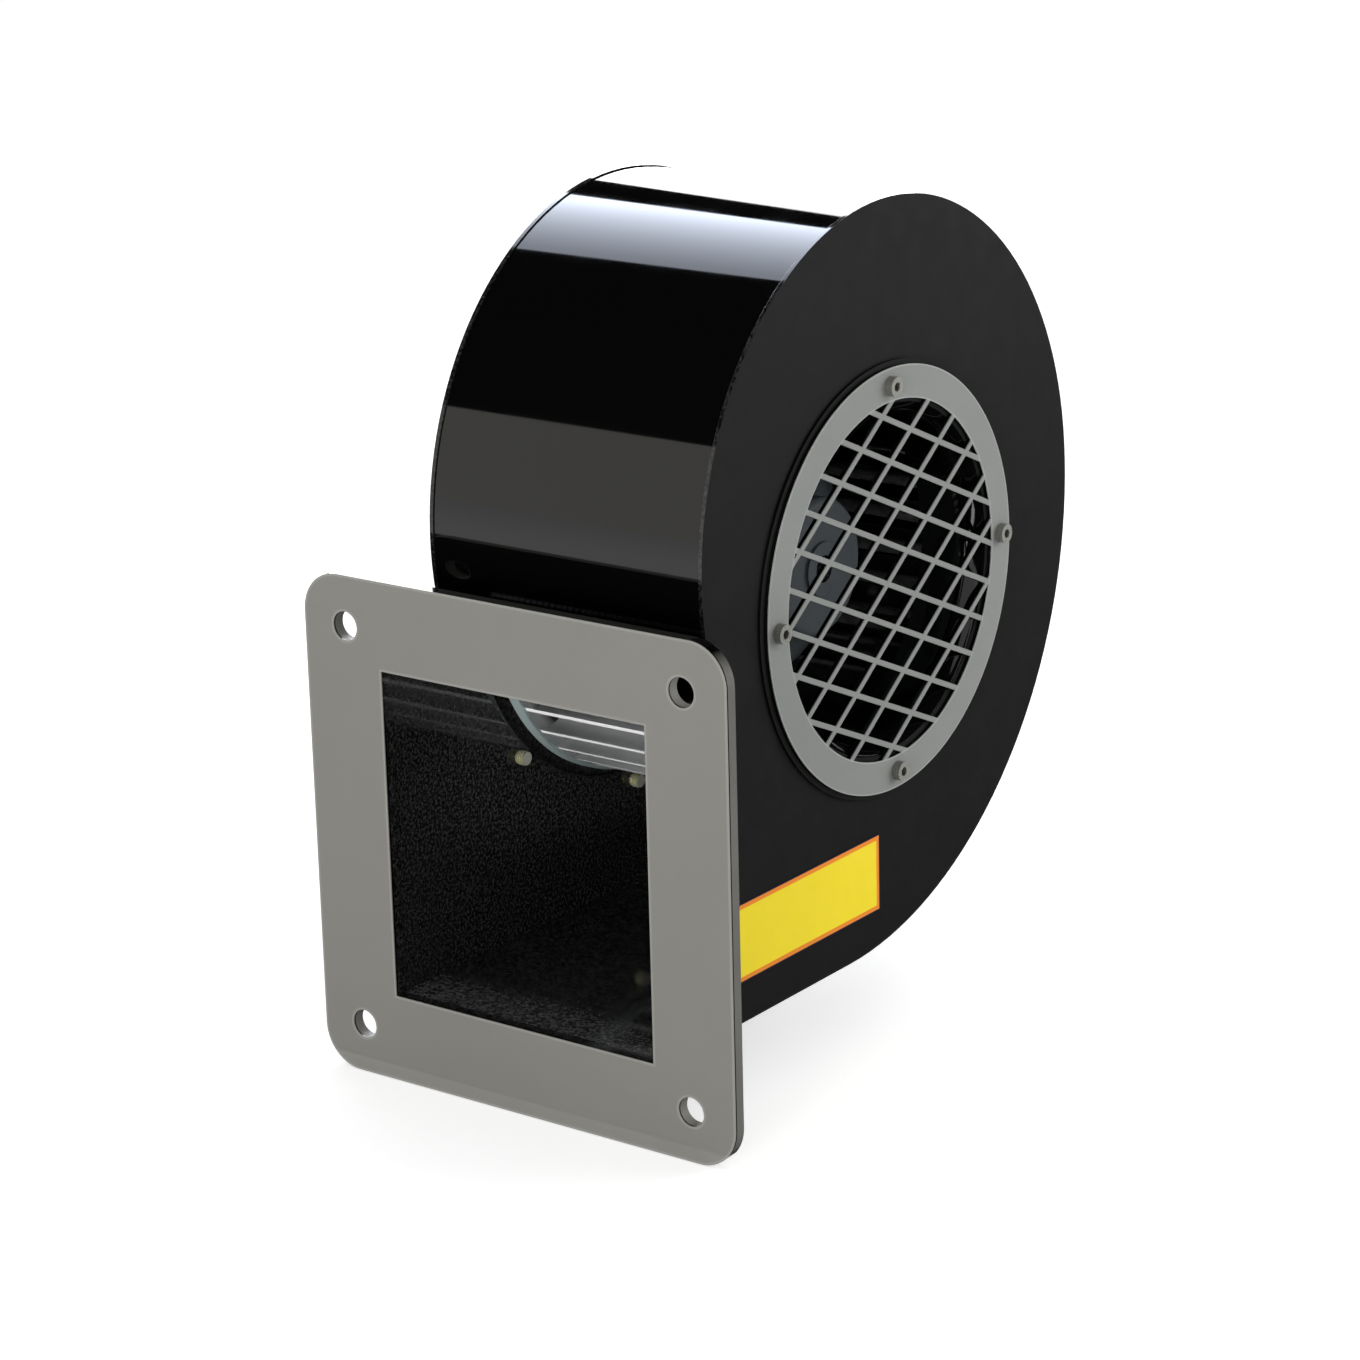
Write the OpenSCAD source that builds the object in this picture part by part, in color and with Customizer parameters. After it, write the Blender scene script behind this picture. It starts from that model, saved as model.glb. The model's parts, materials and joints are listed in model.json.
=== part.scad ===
// Centrifugal blower for duct and burner work.
// A sheet-metal scroll casing ends in a rectangular outlet flange. Its round inlet has a pressed nozzle
// and a lattice guard. An external-rotor motor, held on a round plate on the far side, stands inside a
// drum of forward-curved blades and turns it.
// The origin is the middle of the outlet flange's front face. Air leaves along -Y, the inlet faces +X,
// and +Z is up. The fan's axis runs along X.

/* [Outlet flange] */
// Clear width of the outlet, along X
opening_w = 91.3; // [75:0.1:110]
// Clear height of the outlet, along Z
opening_h = 96.8; // [80:0.1:116]
// Thickness of the flange plate
flange_t = 4; // [3:0.1:6]
// Radius of the flange's corners
flange_corner_r = 12; // [8:0.5:15]
// From the outlet's side to the centre of the nearest bolt hole, along X
bolt_inset_x = 12.4; // [10:0.1:16]
// From the outlet's edge to the centre of the nearest bolt hole, along Z
bolt_inset_z = 11.25; // [9:0.05:16]
// From the centre of a bolt hole to the flange's edge
bolt_edge = 14.7; // [12:0.1:20]
// Diameter of the flange's bolt holes
bolt_hole_d = 8.5; // [6:0.1:11]

/* [Casing] */
// Thickness of the two side plates
side_t = 1.2; // [0.8:0.1:2]
// Thickness of the bent strip between them
wrap_t = 1; // [0.8:0.1:2]
// How far the side plates stand out past the strip
plate_lip = 0.4; // [0.3:0.05:1]
// How far the duct's walls lie behind the edges of the flange's opening
duct_step = 0.25; // [0.1:0.05:1]
// Distance from the flange's front face to the fan's axis
fan_y = 114.3; // [94:0.1:140]
// Radial gap from the wheel's rim to the first arc of the scroll
scroll_gap = 20.4; // [16:0.1:26]
// How far the first arc's centre lies behind the fan's axis
scroll_shift = 1.35; // [1:0.05:2]
// How far the first arc's centre lies above the fan's axis
scroll_rise = 19.7; // [16:0.1:24]
// By how much the second arc's radius is larger than the first's
scroll_growth_1 = 10.1; // [8:0.1:13]
// By how much the third arc's radius is larger than the second's
scroll_growth_2 = 18.75; // [15:0.05:23]
// Direction in which the first arc passes into the second, from +Y towards +Z
scroll_turn_1 = 69; // [55:1:85]
// Direction in which the second arc passes into the third
scroll_turn_2 = 5.4; // [0:0.1:20]
// Outside bend radius of the tongue, where the scroll meets the duct's roof
tongue_r = 4; // [3:0.1:6]

/* [Inlet] */
// Thickness of the nozzle's sheet
nozzle_t = 1; // [0.8:0.1:1.5]
// Radius of the nozzle's bell mouth
bell_r = 6.6; // [5:0.1:9]
// How far the nozzle's collar reaches into the wheel
nozzle_overlap = 3; // [2:0.1:5]
// Radial gap between the nozzle's collar and the wheel's inlet ring
nozzle_gap = 2.5; // [1.5:0.1:4]
// How far the nozzle's flange stands out past the guard
nozzle_margin = 1.5; // [1:0.1:3]
// Thickness of the guard plate
guard_t = 1.5; // [1:0.1:2.5]
// Width of the guard's ring
guard_ring_w = 9.7; // [8:0.1:14]
// From the guard's outer edge to the centres of its screws
guard_screw_inset = 5.1; // [4.2:0.1:6.5]
// Number of guard screws
guard_screw_count = 4; // [3:1:8]
// Angle by which the guard's screws are turned out of the level
guard_screw_turn = 1; // [-15:0.5:15]
// Width of the lattice's bars
bar_w = 1.6; // [1.2:0.1:2.4]
// Spacing of the bars that fall towards the back
pitch_a = 11; // [9:0.1:14]
// Spacing of the bars that rise towards the back
pitch_b = 13.7; // [11:0.1:17]
// Direction of the falling bars
bar_angle_a = -24.5; // [-40:0.5:-10]
// Direction of the rising bars
bar_angle_b = 35.6; // [20:0.1:60]
// How far the falling bars' pattern is shifted below the fan's axis
shift_a = 1.4; // [0.5:0.1:3]
// How far the rising bars' pattern is shifted in front of the fan's axis
shift_b = 1.6; // [0.5:0.1:3]

/* [Wheel] */
// Diameter of the wheel
wheel_d = 140; // [114:1:170]
// Gap between the wheel and the motor side plate's inner face
wheel_rear_gap = 2.2; // [1.6:0.1:4]
// Gap between the wheel and the inlet side plate's inner face
wheel_front_gap = 13.6; // [11:0.1:18]
// Sheet thickness of the wheel's disc and ring
disc_t = 1; // [0.8:0.1:1.5]
// Depth of the folded rims of the disc and the ring
rim_depth = 3.5; // [2.5:0.1:5]
// From the blades' inner edge to the inner edge of the inlet ring
ring_step = 7; // [5:0.1:9]
// Radial depth of the blades
blade_depth = 12.5; // [10:0.1:15]
// Thickness of the blades
blade_t = 0.6; // [0.4:0.1:1]
// Number of blades
blade_count = 40; // [24:1:48]
// Angle between a blade and the wheel's edge circle
blade_exit_angle = 25; // [20:1:35]
// Angle between a blade and the circle of its inner edge
blade_entry_angle = 80; // [60:1:90]

/* [Motor] */
// Diameter of the rotor's can
motor_d = 68.4; // [56:0.1:82]
// Length of the can from its rim to its nose
motor_len = 67.3; // [55:0.1:81]
// Wall thickness of the can
can_t = 1.2; // [0.8:0.1:1.6]
// Width of the can's outward flange
can_flange_w = 7; // [5.5:0.1:9]
// Diameter of the can's nose
nose_d = 41.4; // [34:0.1:50]
// Length of the nose's straight part
nose_len = 6.6; // [5:0.1:8]
// Length of the shoulder between the nose and the can
shoulder_len = 10; // [8:0.1:12]
// Edge radius of the nose
nose_edge_r = 2.4; // [1.5:0.1:3]
// Diameter of the hub's boss on the nose
hub_d = 16; // [13:0.1:19.5]
// How far the boss stands out of the nose
hub_proud = 1; // [0.5:0.1:2]
// Length of the boss inside the nose
hub_len = 6.4; // [5:0.1:8]
// Diameter of the shaft
shaft_d = 8; // [6.5:0.1:9.6]
// Outer diameter of the bearings
bearing_d = 22; // [18:0.1:26.4]
// Width of the bearings
bearing_w = 7; // [5.5:0.1:8.5]
// Radial thickness of a bearing's rings
race_t = 1.9; // [1.5:0.1:2.3]
// Wall of the bearing tube
tube_wall = 2.5; // [2:0.1:3]
// Radial thickness of the rotor's cage
cage_t = 4; // [3:0.1:5]
// Air gap between the rotor and the stator
air_gap = 0.35; // [0.25:0.05:0.5]
// Radial depth of the stator's yoke
yoke_t = 5; // [4:0.1:6]
// Radial depth of the stator's tooth tips
tip_t = 2; // [1.6:0.1:2.4]
// Number of stator slots
slot_count = 12; // [6:1:16]
// Width of a stator tooth
tooth_w = 4; // [3.2:0.1:4.8]
// Width of a slot's mouth
slot_mouth_w = 2; // [1.6:0.1:2.4]
// Length of the winding's end turns
end_turn_len = 8; // [6.5:0.1:9.6]

/* [Motor mounting] */
// Gap round the wheel in the motor side plate's hole
wheel_hole_gap = 3; // [2.4:0.1:4]
// From the edge of that hole to the centres of the motor plate's screws
plate_screw_inset = 4; // [3.3:0.1:5]
// From those screws to the motor plate's edge
plate_edge = 5; // [4:0.1:7]
// Thickness of the motor plate
motor_plate_t = 1.5; // [1.2:0.1:2.5]
// Thickness of the gasket under the motor plate
gasket_t = 0.8; // [0.5:0.1:1.5]
// Number of the motor plate's screws
plate_screw_count = 8; // [6:1:12]
// How far the motor plate's screws reach into the casing
plate_screw_tip = 3; // [2:0.1:5]
// Thickness of the motor base's flange
base_flange_t = 3; // [2.4:0.1:3.6]
// How far the motor base reaches into the can
base_boss_len = 4.3; // [3.5:0.1:5.2]
// Wall of the motor base round its bearing seat and its cable hole
base_wall = 1.8; // [1.5:0.1:2.2]
// How far the base's spigot stands out of the motor plate
spigot_proud = 1; // [0.8:0.1:2]
// From the spigot to the centres of the base's screws, and from those to the base's edge
base_screw_edge = 4.5; // [3.8:0.1:5.5]
// Number of the motor base's screws
base_screw_count = 4; // [3:1:8]
// Thickness of the cap over the rear bearing
cap_t = 1.2; // [0.8:0.1:1.6]
// Outer diameter of the cable bush
bush_d = 8.4; // [7:0.1:10]
// Diameter of the cable that the bush takes
cable_d = 5.2; // [4:0.1:6.2]
// Width and thickness of the cable bush's collar
bush_collar = 1.2; // [1:0.1:1.5]

/* [Fasteners] */
// Thread diameter of the guard's screws
guard_thread_d = 3.5; // [2.8:0.1:4.2]
// Head diameter of the guard's screws
guard_head_d = 5.7; // [4.8:0.1:6.8]
// Head height of the guard's screws
guard_head_h = 2.4; // [2:0.1:3.2]
// Thread diameter of the motor's screws
motor_thread_d = 4; // [3.3:0.1:4.8]
// Head diameter of the motor's screws
motor_head_d = 7; // [6:0.1:8.4]
// Head height of the motor's screws
motor_head_h = 2.8; // [2.3:0.1:3.6]
// Width of a nut over its corners
nut_d = 7.2; // [6:0.1:8.6]
// Height of a nut
nut_h = 2.6; // [2:0.1:3.2]
// Number of rivets between the wheel and the can
rivet_count = 6; // [4:1:12]
// Shank diameter of the rivets
rivet_d = 3.2; // [2.6:0.1:3.8]
// Head diameter of the rivets
rivet_head_d = 5.4; // [4.6:0.1:6.4]
// Head height of the rivets
rivet_head_h = 1; // [0.8:0.1:1.2]
// Thickness of the shaft's retaining ring
circlip_t = 1; // [0.8:0.1:1.2]
// Radial width of the retaining ring
circlip_w = 2.4; // [2:0.1:2.9]

/* [Label] */
// Length of the label
label_w = 80; // [66:1:95]
// Height of the label
label_h = 23.3; // [19:0.1:28]
// Thickness of the label
label_t = 0.25; // [0.2:0.05:0.4]
// Distance from the flange's front face to the label
label_y = 29; // [24:0.5:36]
// Height of the label above the side plate's bottom edge
label_lift = 12.2; // [10:0.1:15]

/* [Fits] */
// Gap between pieces that are pressed or screwed together
fit_gap = 0.03; // [0.01:0.01:0.05]
// Gap between the bearings' shields and their inner rings
shield_gap = 0.1; // [0.05:0.01:0.2]
// Gap round winding wire and other loose inner pieces
loose_gap = 0.3; // [0.25:0.05:0.5]
// Axial gap between the winding and the motor base
wire_gap = 2.4; // [2:0.1:3]

/* [Hidden] */
$fn = 96;

// Colours as they show
flange_grey = "#87867f";
gloss_black = "#101010";
plate_black = "#262626";
guard_grey = "#919490";
zinc = "#b4b6b4";
galvanised = "#c2c6c8";
can_grey = "#5c6470";

// By how much the slices of the scroll overlap
seam_angle = 3;

// How far a cut runs past what it cuts, and how far its tools reach
overrun = flange_t;
reach = fan_y;

// Flange
bolt_x = opening_w / 2 + bolt_inset_x;
bolt_z = opening_h / 2 + bolt_inset_z;
flange_w = 2 * (bolt_x + bolt_edge);
flange_h = 2 * (bolt_z + bolt_edge);

// Casing across its width
inner_x = opening_w / 2 + duct_step;
face_x = inner_x + side_t;

// Scroll: three arcs that pass into one another without a corner, and a flat floor.
// Centres are [Y, Z] in the plane of the side plates.
function along(angle) = [cos(angle), sin(angle)];
wheel_r = wheel_d / 2;
arc_1_r = wheel_r + scroll_gap;
arc_2_r = arc_1_r + scroll_growth_1;
arc_3_r = arc_2_r + scroll_growth_2;
arc_1_off = [scroll_shift, scroll_rise];
arc_2_off = arc_1_off - scroll_growth_1 * along(scroll_turn_1);
arc_3_off = arc_2_off - scroll_growth_2 * along(scroll_turn_2);
roof_z = opening_h / 2 + wrap_t + plate_lip;
fan_z = arc_3_r - arc_3_off[1] - roof_z;
fan_c = [fan_y, fan_z];
arc_1_c = fan_c + arc_1_off;
arc_2_c = fan_c + arc_2_off;
arc_3_c = fan_c + arc_3_off;
tongue_z = roof_z + tongue_r;
tongue_drop = arc_1_c[1] - tongue_z;
tongue_c = [arc_1_c[0] - sqrt((arc_1_r + tongue_r) ^ 2 - tongue_drop ^ 2), tongue_z];
tongue_angle = 180 + asin(tongue_drop / (arc_1_r + tongue_r));

// Wheel
wheel_back_x = wheel_rear_gap - inner_x;
wheel_front_x = inner_x - wheel_front_gap;
blade_out_r = wheel_r - disc_t - fit_gap;
blade_in_r = blade_out_r - blade_depth;
ring_in_r = blade_in_r - ring_step;
blade_back_x = wheel_back_x + disc_t;
blade_len = wheel_front_x - disc_t - blade_back_x;
// The blade's section is one circular arc that meets both circles at the given angles
blade_curve_r = (blade_out_r ^ 2 - blade_in_r ^ 2)
  / (2 * (blade_out_r * cos(blade_exit_angle) - blade_in_r * cos(blade_entry_angle)));
blade_curve_c = sqrt(blade_curve_r ^ 2 + blade_out_r ^ 2
  - 2 * blade_curve_r * blade_out_r * cos(blade_exit_angle));

// Inlet
collar_r = ring_in_r - nozzle_gap;
throat_r = collar_r - nozzle_t;
bell_c = throat_r + bell_r;
nozzle_x = face_x + nozzle_t;
guard_x = nozzle_x + guard_t;
guard_r = bell_c + guard_ring_w;
nozzle_r = guard_r + nozzle_margin;
guard_screw_r = guard_r - guard_screw_inset;
guard_thread_r = guard_thread_d / 2;
side_hole_r = bell_c + loose_gap;

// Motor mounting
wheel_hole_r = wheel_r + wheel_hole_gap;
plate_screw_r = wheel_hole_r + plate_screw_inset;
motor_plate_r = plate_screw_r + plate_edge;
motor_thread_r = motor_thread_d / 2;
motor_plate_x = -face_x - gasket_t;
plate_out_x = motor_plate_x - motor_plate_t;
spigot_x = plate_out_x - spigot_proud;
shaft_r = shaft_d / 2;
bearing_r = bearing_d / 2;
bush_r = bush_d / 2;
spigot_r = bearing_r + 2 * base_wall + bush_d;
bush_c = bearing_r + base_wall + bush_r;
base_screw_r = spigot_r + base_screw_edge;
base_r = base_screw_r + base_screw_edge;
base_boss_r = spigot_r + base_flange_t;
base_flange_x = motor_plate_x + base_flange_t;

// Motor
can_r = motor_d / 2;
can_in_r = can_r - can_t;
nose_r = nose_d / 2;
nose_in_r = nose_r - can_t;
hub_r = hub_d / 2;
rim_x = wheel_back_x + disc_t;
nose_x = rim_x + motor_len;
cone_x = nose_x - nose_len;
shoulder_x = cone_x - shoulder_len;
tube_r = bearing_r + tube_wall;
tube_x = nose_x - can_t - hub_len;
hub_step = bearing_w / 5;
race_r = shaft_r + race_t;
base_boss_x = rim_x + base_boss_len;
stack_x = base_boss_x + wire_gap + end_turn_len;
stack_len = shoulder_x - end_turn_len - stack_x;
cage_in_r = can_in_r - cage_t;
stator_r = cage_in_r - air_gap;
slot_root_r = tube_r + yoke_t;
slot_tip_r = stator_r - tip_t;
front_bearing_x = tube_x - bearing_w;
circlip_x = spigot_x + cap_t + circlip_t;
rear_bearing_x = circlip_x + circlip_t;
washer_x = rear_bearing_x + bearing_w;
washer_t = circlip_t - loose_gap;
tube_bore_r = bearing_r - race_t + loose_gap;
groove_r = shaft_r - circlip_w / 6;
rivet_r = can_r + can_flange_w / 2;
hex_share = 0.5;
socket_share = 0.55;

// Places pieces on the fan's axis: a drawing's x becomes +Y, its y becomes +Z, and its height runs
// along +X from the given station.
module on_axis(x = 0) {
  translate([x, fan_y, fan_z]) rotate([90, 0, 90]) children();
}

// The same for a side plane, with the drawing's origin on the flange's centre line
module side_plane(x) {
  translate([x, 0, 0]) rotate([90, 0, 90]) children();
}

// Copies evenly round a circle on the fan's axis
module around(count, radius, start = 0) {
  for (i = [0 : count - 1]) rotate(start + i * 360 / count) translate([radius, 0]) children();
}

// Turned ring about the fan's axis from station x0 to x1
module turned(r0, r1, x0, x1) {
  on_axis(x0) linear_extrude(x1 - x0) ring(r0, r1);
}

module ring(r0, r1) {
  difference() {
    circle(r1);
    circle(r0);
  }
}

// Pie slice of a disc
module sector(centre, r, a0, a1) {
  far = 2 * r;
  intersection() {
    translate(centre) circle(r);
    polygon([centre, centre + far * along(a0), centre + far * along((a0 + a1) / 2),
      centre + far * along(a1)]);
  }
}

// Side view of the casing, drawn in by the given amount all round, from station y0 to the back.
// Each arc's slice runs a little way under the next, wider one.
module scroll_area(inset, y0) {
  sector(arc_1_c, arc_1_r - inset, scroll_turn_1 - seam_angle, tongue_angle + seam_angle);
  sector(arc_2_c, arc_2_r - inset, scroll_turn_2 - seam_angle, scroll_turn_1);
  sector(arc_3_c, arc_3_r - inset, -90 - seam_angle, scroll_turn_2);
  difference() {
    polygon([[y0, inset - roof_z], [arc_3_c[0], inset - roof_z], arc_3_c, arc_2_c, arc_1_c,
      tongue_c, [tongue_c[0], roof_z - inset], [y0, roof_z - inset]]);
    translate(tongue_c) circle(tongue_r + inset);
  }
}

module outlet_flange() {
  color(flange_grey) translate([0, flange_t, 0]) rotate([90, 0, 0]) linear_extrude(flange_t)
    difference() {
      union() {
        square([flange_w - 2 * flange_corner_r, flange_h], center = true);
        square([flange_w, flange_h - 2 * flange_corner_r], center = true);
        for (sx = [-1, 1], sz = [-1, 1])
          translate([sx * (flange_w / 2 - flange_corner_r), sz * (flange_h / 2 - flange_corner_r)])
            circle(flange_corner_r);
      }
      square([opening_w, opening_h], center = true);
      for (sx = [-1, 1], sz = [-1, 1]) translate([sx * bolt_x, sz * bolt_z]) circle(d = bolt_hole_d);
    }
}

// One bent strip: the duct's roof, the tongue, the scroll and the duct's floor
module scroll_wrap() {
  color(gloss_black) side_plane(-inner_x) linear_extrude(2 * inner_x)
    difference() {
      scroll_area(plate_lip, flange_t);
      scroll_area(plate_lip + wrap_t, flange_t - overrun);
    }
}

module inlet_side_plate() {
  color(plate_black) side_plane(inner_x) linear_extrude(side_t)
    difference() {
      scroll_area(0, flange_t);
      translate(fan_c) circle(side_hole_r);
      translate(fan_c) around(guard_screw_count, guard_screw_r, guard_screw_turn)
        circle(guard_thread_r + fit_gap);
    }
}

module motor_side_plate() {
  color(plate_black) side_plane(-face_x) linear_extrude(side_t)
    difference() {
      scroll_area(0, flange_t);
      translate(fan_c) circle(wheel_hole_r);
      translate(fan_c) around(plate_screw_count, plate_screw_r) circle(motor_thread_r + fit_gap);
    }
}

// Flat flange, a quarter-round bell mouth and a straight collar that reaches into the wheel
module inlet_nozzle() {
  bell_x = nozzle_x - bell_r;
  tip_x = wheel_front_x - nozzle_overlap;
  color(gloss_black) difference() {
    on_axis() rotate_extrude() {
      translate([bell_c, face_x]) square([nozzle_r - bell_c, nozzle_t]);
      intersection() {
        translate([bell_c, bell_x]) ring(bell_r - nozzle_t, bell_r);
        translate([throat_r, bell_x]) square(bell_r);
      }
      translate([throat_r, tip_x]) square([nozzle_t, bell_x - tip_x]);
    }
    on_axis(face_x - overrun) linear_extrude(2 * overrun)
      around(guard_screw_count, guard_screw_r, guard_screw_turn) circle(guard_thread_r + fit_gap);
  }
}

// Parallel bars across the guard's opening
module bars(angle, pitch, shift) {
  count = ceil(bell_c / pitch);
  rotate(angle) for (i = [-count : count])
    translate([-guard_r, i * pitch - shift - bar_w / 2]) square([2 * guard_r, bar_w]);
}

module inlet_guard() {
  color(guard_grey) on_axis(nozzle_x) linear_extrude(guard_t)
    difference() {
      circle(guard_r);
      difference() {
        circle(bell_c);
        bars(bar_angle_a, pitch_a, shift_a);
        bars(bar_angle_b, pitch_b, -shift_b);
      }
      around(guard_screw_count, guard_screw_r, guard_screw_turn) circle(guard_thread_r + fit_gap);
    }
}

// Socket-head screw with its head's seat at z = 0 and its thread running down
module socket_screw(thread_r, length, head_d, head_h) {
  translate([0, 0, -length]) cylinder(h = length, r = thread_r);
  difference() {
    cylinder(h = head_h, d = head_d);
    translate([0, 0, head_h * (1 - socket_share)])
      cylinder(h = head_h, d = head_d * hex_share, $fn = 6);
  }
}

module guard_screws() {
  color(zinc) on_axis(guard_x)
    around(guard_screw_count, guard_screw_r, guard_screw_turn)
      socket_screw(guard_thread_r, guard_x - inner_x + nut_h, guard_head_d, guard_head_h);
}

// Clinch nuts on the inlet side plate's inner face
module guard_nuts() {
  color(zinc) on_axis(inner_x - nut_h) linear_extrude(nut_h)
    around(guard_screw_count, guard_screw_r, guard_screw_turn)
      difference() {
        circle(d = nut_d, $fn = 6);
        circle(guard_thread_r + fit_gap);
      }
}

module rating_label() {
  color("#e8d430") side_plane(face_x) linear_extrude(label_t)
    translate([label_y, label_lift - roof_z]) square([label_w, label_h]);
}

module motor_plate() {
  color(plate_black) on_axis(plate_out_x) linear_extrude(motor_plate_t)
    difference() {
      ring(spigot_r + fit_gap, motor_plate_r);
      around(plate_screw_count, plate_screw_r) circle(motor_thread_r + fit_gap);
      around(base_screw_count, base_screw_r, 180 / base_screw_count) circle(motor_thread_r + fit_gap);
    }
}

module motor_plate_gasket() {
  color("#1a1a1a") on_axis(motor_plate_x) linear_extrude(gasket_t)
    difference() {
      ring(wheel_hole_r, motor_plate_r);
      around(plate_screw_count, plate_screw_r) circle(motor_thread_r + fit_gap);
    }
}

module motor_plate_screws() {
  color(zinc) on_axis(plate_out_x)
    around(plate_screw_count, plate_screw_r) mirror([0, 0, 1])
      socket_screw(motor_thread_r, plate_screw_tip - inner_x - plate_out_x, motor_head_d, motor_head_h);
}

// Cast base: a spigot that centres the motor plate, a flange inside it and the long bearing tube
module motor_base() {
  color("#a9abab") difference() {
    on_axis() rotate_extrude() difference() {
      union() {
        translate([0, spigot_x]) square([spigot_r, motor_plate_x - spigot_x]);
        translate([0, motor_plate_x]) square([base_r, base_flange_t]);
        translate([0, base_flange_x]) square([base_boss_r, base_boss_x - base_flange_x]);
        translate([0, base_boss_x]) square([tube_r, tube_x - base_boss_x]);
      }
      translate([0, spigot_x - overrun]) square([tube_bore_r, tube_x - spigot_x + 2 * overrun]);
      translate([0, spigot_x - overrun])
        square([bearing_r + fit_gap, washer_x + washer_t - spigot_x + overrun]);
      translate([0, front_bearing_x]) square([bearing_r + fit_gap, bearing_w + overrun]);
    }
    on_axis(spigot_x - overrun) linear_extrude(base_boss_x - spigot_x + 2 * overrun)
      rotate(-90) translate([bush_c, 0]) circle(bush_r + fit_gap);
    on_axis(motor_plate_x - overrun) linear_extrude(2 * overrun)
      around(base_screw_count, base_screw_r, 180 / base_screw_count) circle(motor_thread_r + fit_gap);
  }
}

module motor_base_screws() {
  color(zinc) on_axis(plate_out_x)
    around(base_screw_count, base_screw_r, 180 / base_screw_count) mirror([0, 0, 1])
      socket_screw(motor_thread_r, motor_plate_t + base_flange_t, motor_head_d, motor_head_h);
}

// Bush through which the motor's cable leaves
module cable_bush() {
  color("#1c1c1c") on_axis() rotate(-90) translate([bush_c, 0]) rotate_extrude() difference() {
    union() {
      translate([0, spigot_x - bush_collar]) square([bush_r + bush_collar, bush_collar]);
      translate([0, spigot_x]) square([bush_r, base_flange_x - spigot_x]);
    }
    translate([0, spigot_x - overrun]) square([cable_d / 2, base_flange_x - spigot_x + 2 * overrun]);
  }
}

module bearing_cap() {
  color("#1c1c1c") turned(0, bearing_r, spigot_x, spigot_x + cap_t);
}

// Slotted iron core on the bearing tube
module stator_core() {
  color("#8a8c8e") on_axis(stack_x) linear_extrude(stack_len) difference() {
    circle(stator_r);
    circle(tube_r + fit_gap);
    for (i = [0 : slot_count - 1]) rotate(i * 360 / slot_count) slot_area(0);
    around(slot_count, slot_root_r)
      translate([0, -slot_mouth_w / 2]) square([stator_r - slot_root_r + overrun, slot_mouth_w]);
  }
}

// One slot between two teeth with straight sides, drawn in all round by the given amount
module slot_area(inset) {
  half = 180 / slot_count;
  side = tooth_w / 2 + inset;
  intersection() {
    ring(slot_root_r + inset, slot_tip_r - inset);
    polygon([[side / sin(half), 0], reach * along(-half) + side * along(90 - half),
      reach * along(half) + side * along(half - 90)]);
  }
}

// Coils in the slots, with their end turns joined to a ring at each end
module stator_winding() {
  turn_len = end_turn_len - loose_gap;
  color("#b5703a") {
    on_axis(stack_x - end_turn_len) linear_extrude(stack_len + 2 * end_turn_len)
      for (i = [0 : slot_count - 1]) rotate(i * 360 / slot_count) slot_area(loose_gap);
    for (x = [stack_x - end_turn_len, stack_x + stack_len + loose_gap])
      turned(slot_root_r, slot_tip_r, x, x + turn_len);
  }
}

// Outer ring with its two shields
module bearing_outer(x) {
  color("#9fa3a6") on_axis() rotate_extrude() difference() {
    translate([race_r + shield_gap, x]) square([bearing_r - race_r - shield_gap, bearing_w]);
    translate([race_r, x + race_t / 3])
      square([bearing_r - race_t - race_r, bearing_w - 2 * race_t / 3]);
  }
}

module bearing_inner(x) {
  color("#9fa3a6") turned(shaft_r + fit_gap, race_r, x, x + bearing_w);
}

module bearing_outer_front() {
  bearing_outer(front_bearing_x);
}

module bearing_outer_rear() {
  bearing_outer(rear_bearing_x);
}

module bearing_inner_front() {
  bearing_inner(front_bearing_x);
}

module bearing_inner_rear() {
  bearing_inner(rear_bearing_x);
}

module preload_washer() {
  color(zinc) turned(tube_bore_r, bearing_r, washer_x, washer_x + washer_t);
}

// Deep-drawn can: a flange for the wheel, a straight wall, a shoulder, the nose and the hub
module rotor_can() {
  edge_c = [nose_r - nose_edge_r, nose_x - nose_edge_r];
  color(can_grey) difference() {
    on_axis() rotate_extrude() difference() {
      union() {
        translate([0, rim_x]) square([can_r + can_flange_w, can_t]);
        polygon([[0, rim_x], [can_r, rim_x], [can_r, shoulder_x], [nose_r, cone_x],
          [nose_r, edge_c[1]], edge_c, [edge_c[0], nose_x], [0, nose_x]]);
        intersection() {
          translate(edge_c) circle(nose_edge_r);
          translate(edge_c) square(nose_edge_r);
        }
        translate([0, nose_x - can_t]) square([hub_r, can_t + hub_proud]);
      }
      difference() {
        polygon([[0, rim_x - overrun], [can_in_r, rim_x - overrun], [can_in_r, shoulder_x],
          [nose_in_r, cone_x], [nose_in_r, nose_x - nose_edge_r], [nose_r - nose_edge_r, nose_x - can_t],
          [0, nose_x - can_t]]);
        translate([0, tube_x + hub_step]) square([hub_r, hub_len]);
        translate([0, tube_x]) square([race_r - loose_gap, hub_len]);
      }
      translate([0, rim_x - overrun]) square([shaft_r + fit_gap, motor_len + 2 * overrun]);
    }
    on_axis(rim_x - overrun) linear_extrude(2 * overrun)
      around(rivet_count, rivet_r) circle(d = rivet_d + 2 * fit_gap);
  }
}

module rotor_cage() {
  color("#8f9294")
    turned(cage_in_r, can_in_r - fit_gap, stack_x - loose_gap, stack_x + stack_len + loose_gap);
}

module motor_shaft() {
  color(zinc) difference() {
    turned(0, shaft_r, circlip_x - circlip_t / 2, nose_x + hub_proud);
    turned(groove_r, shaft_r + overrun, circlip_x, circlip_x + circlip_t);
  }
}

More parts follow.
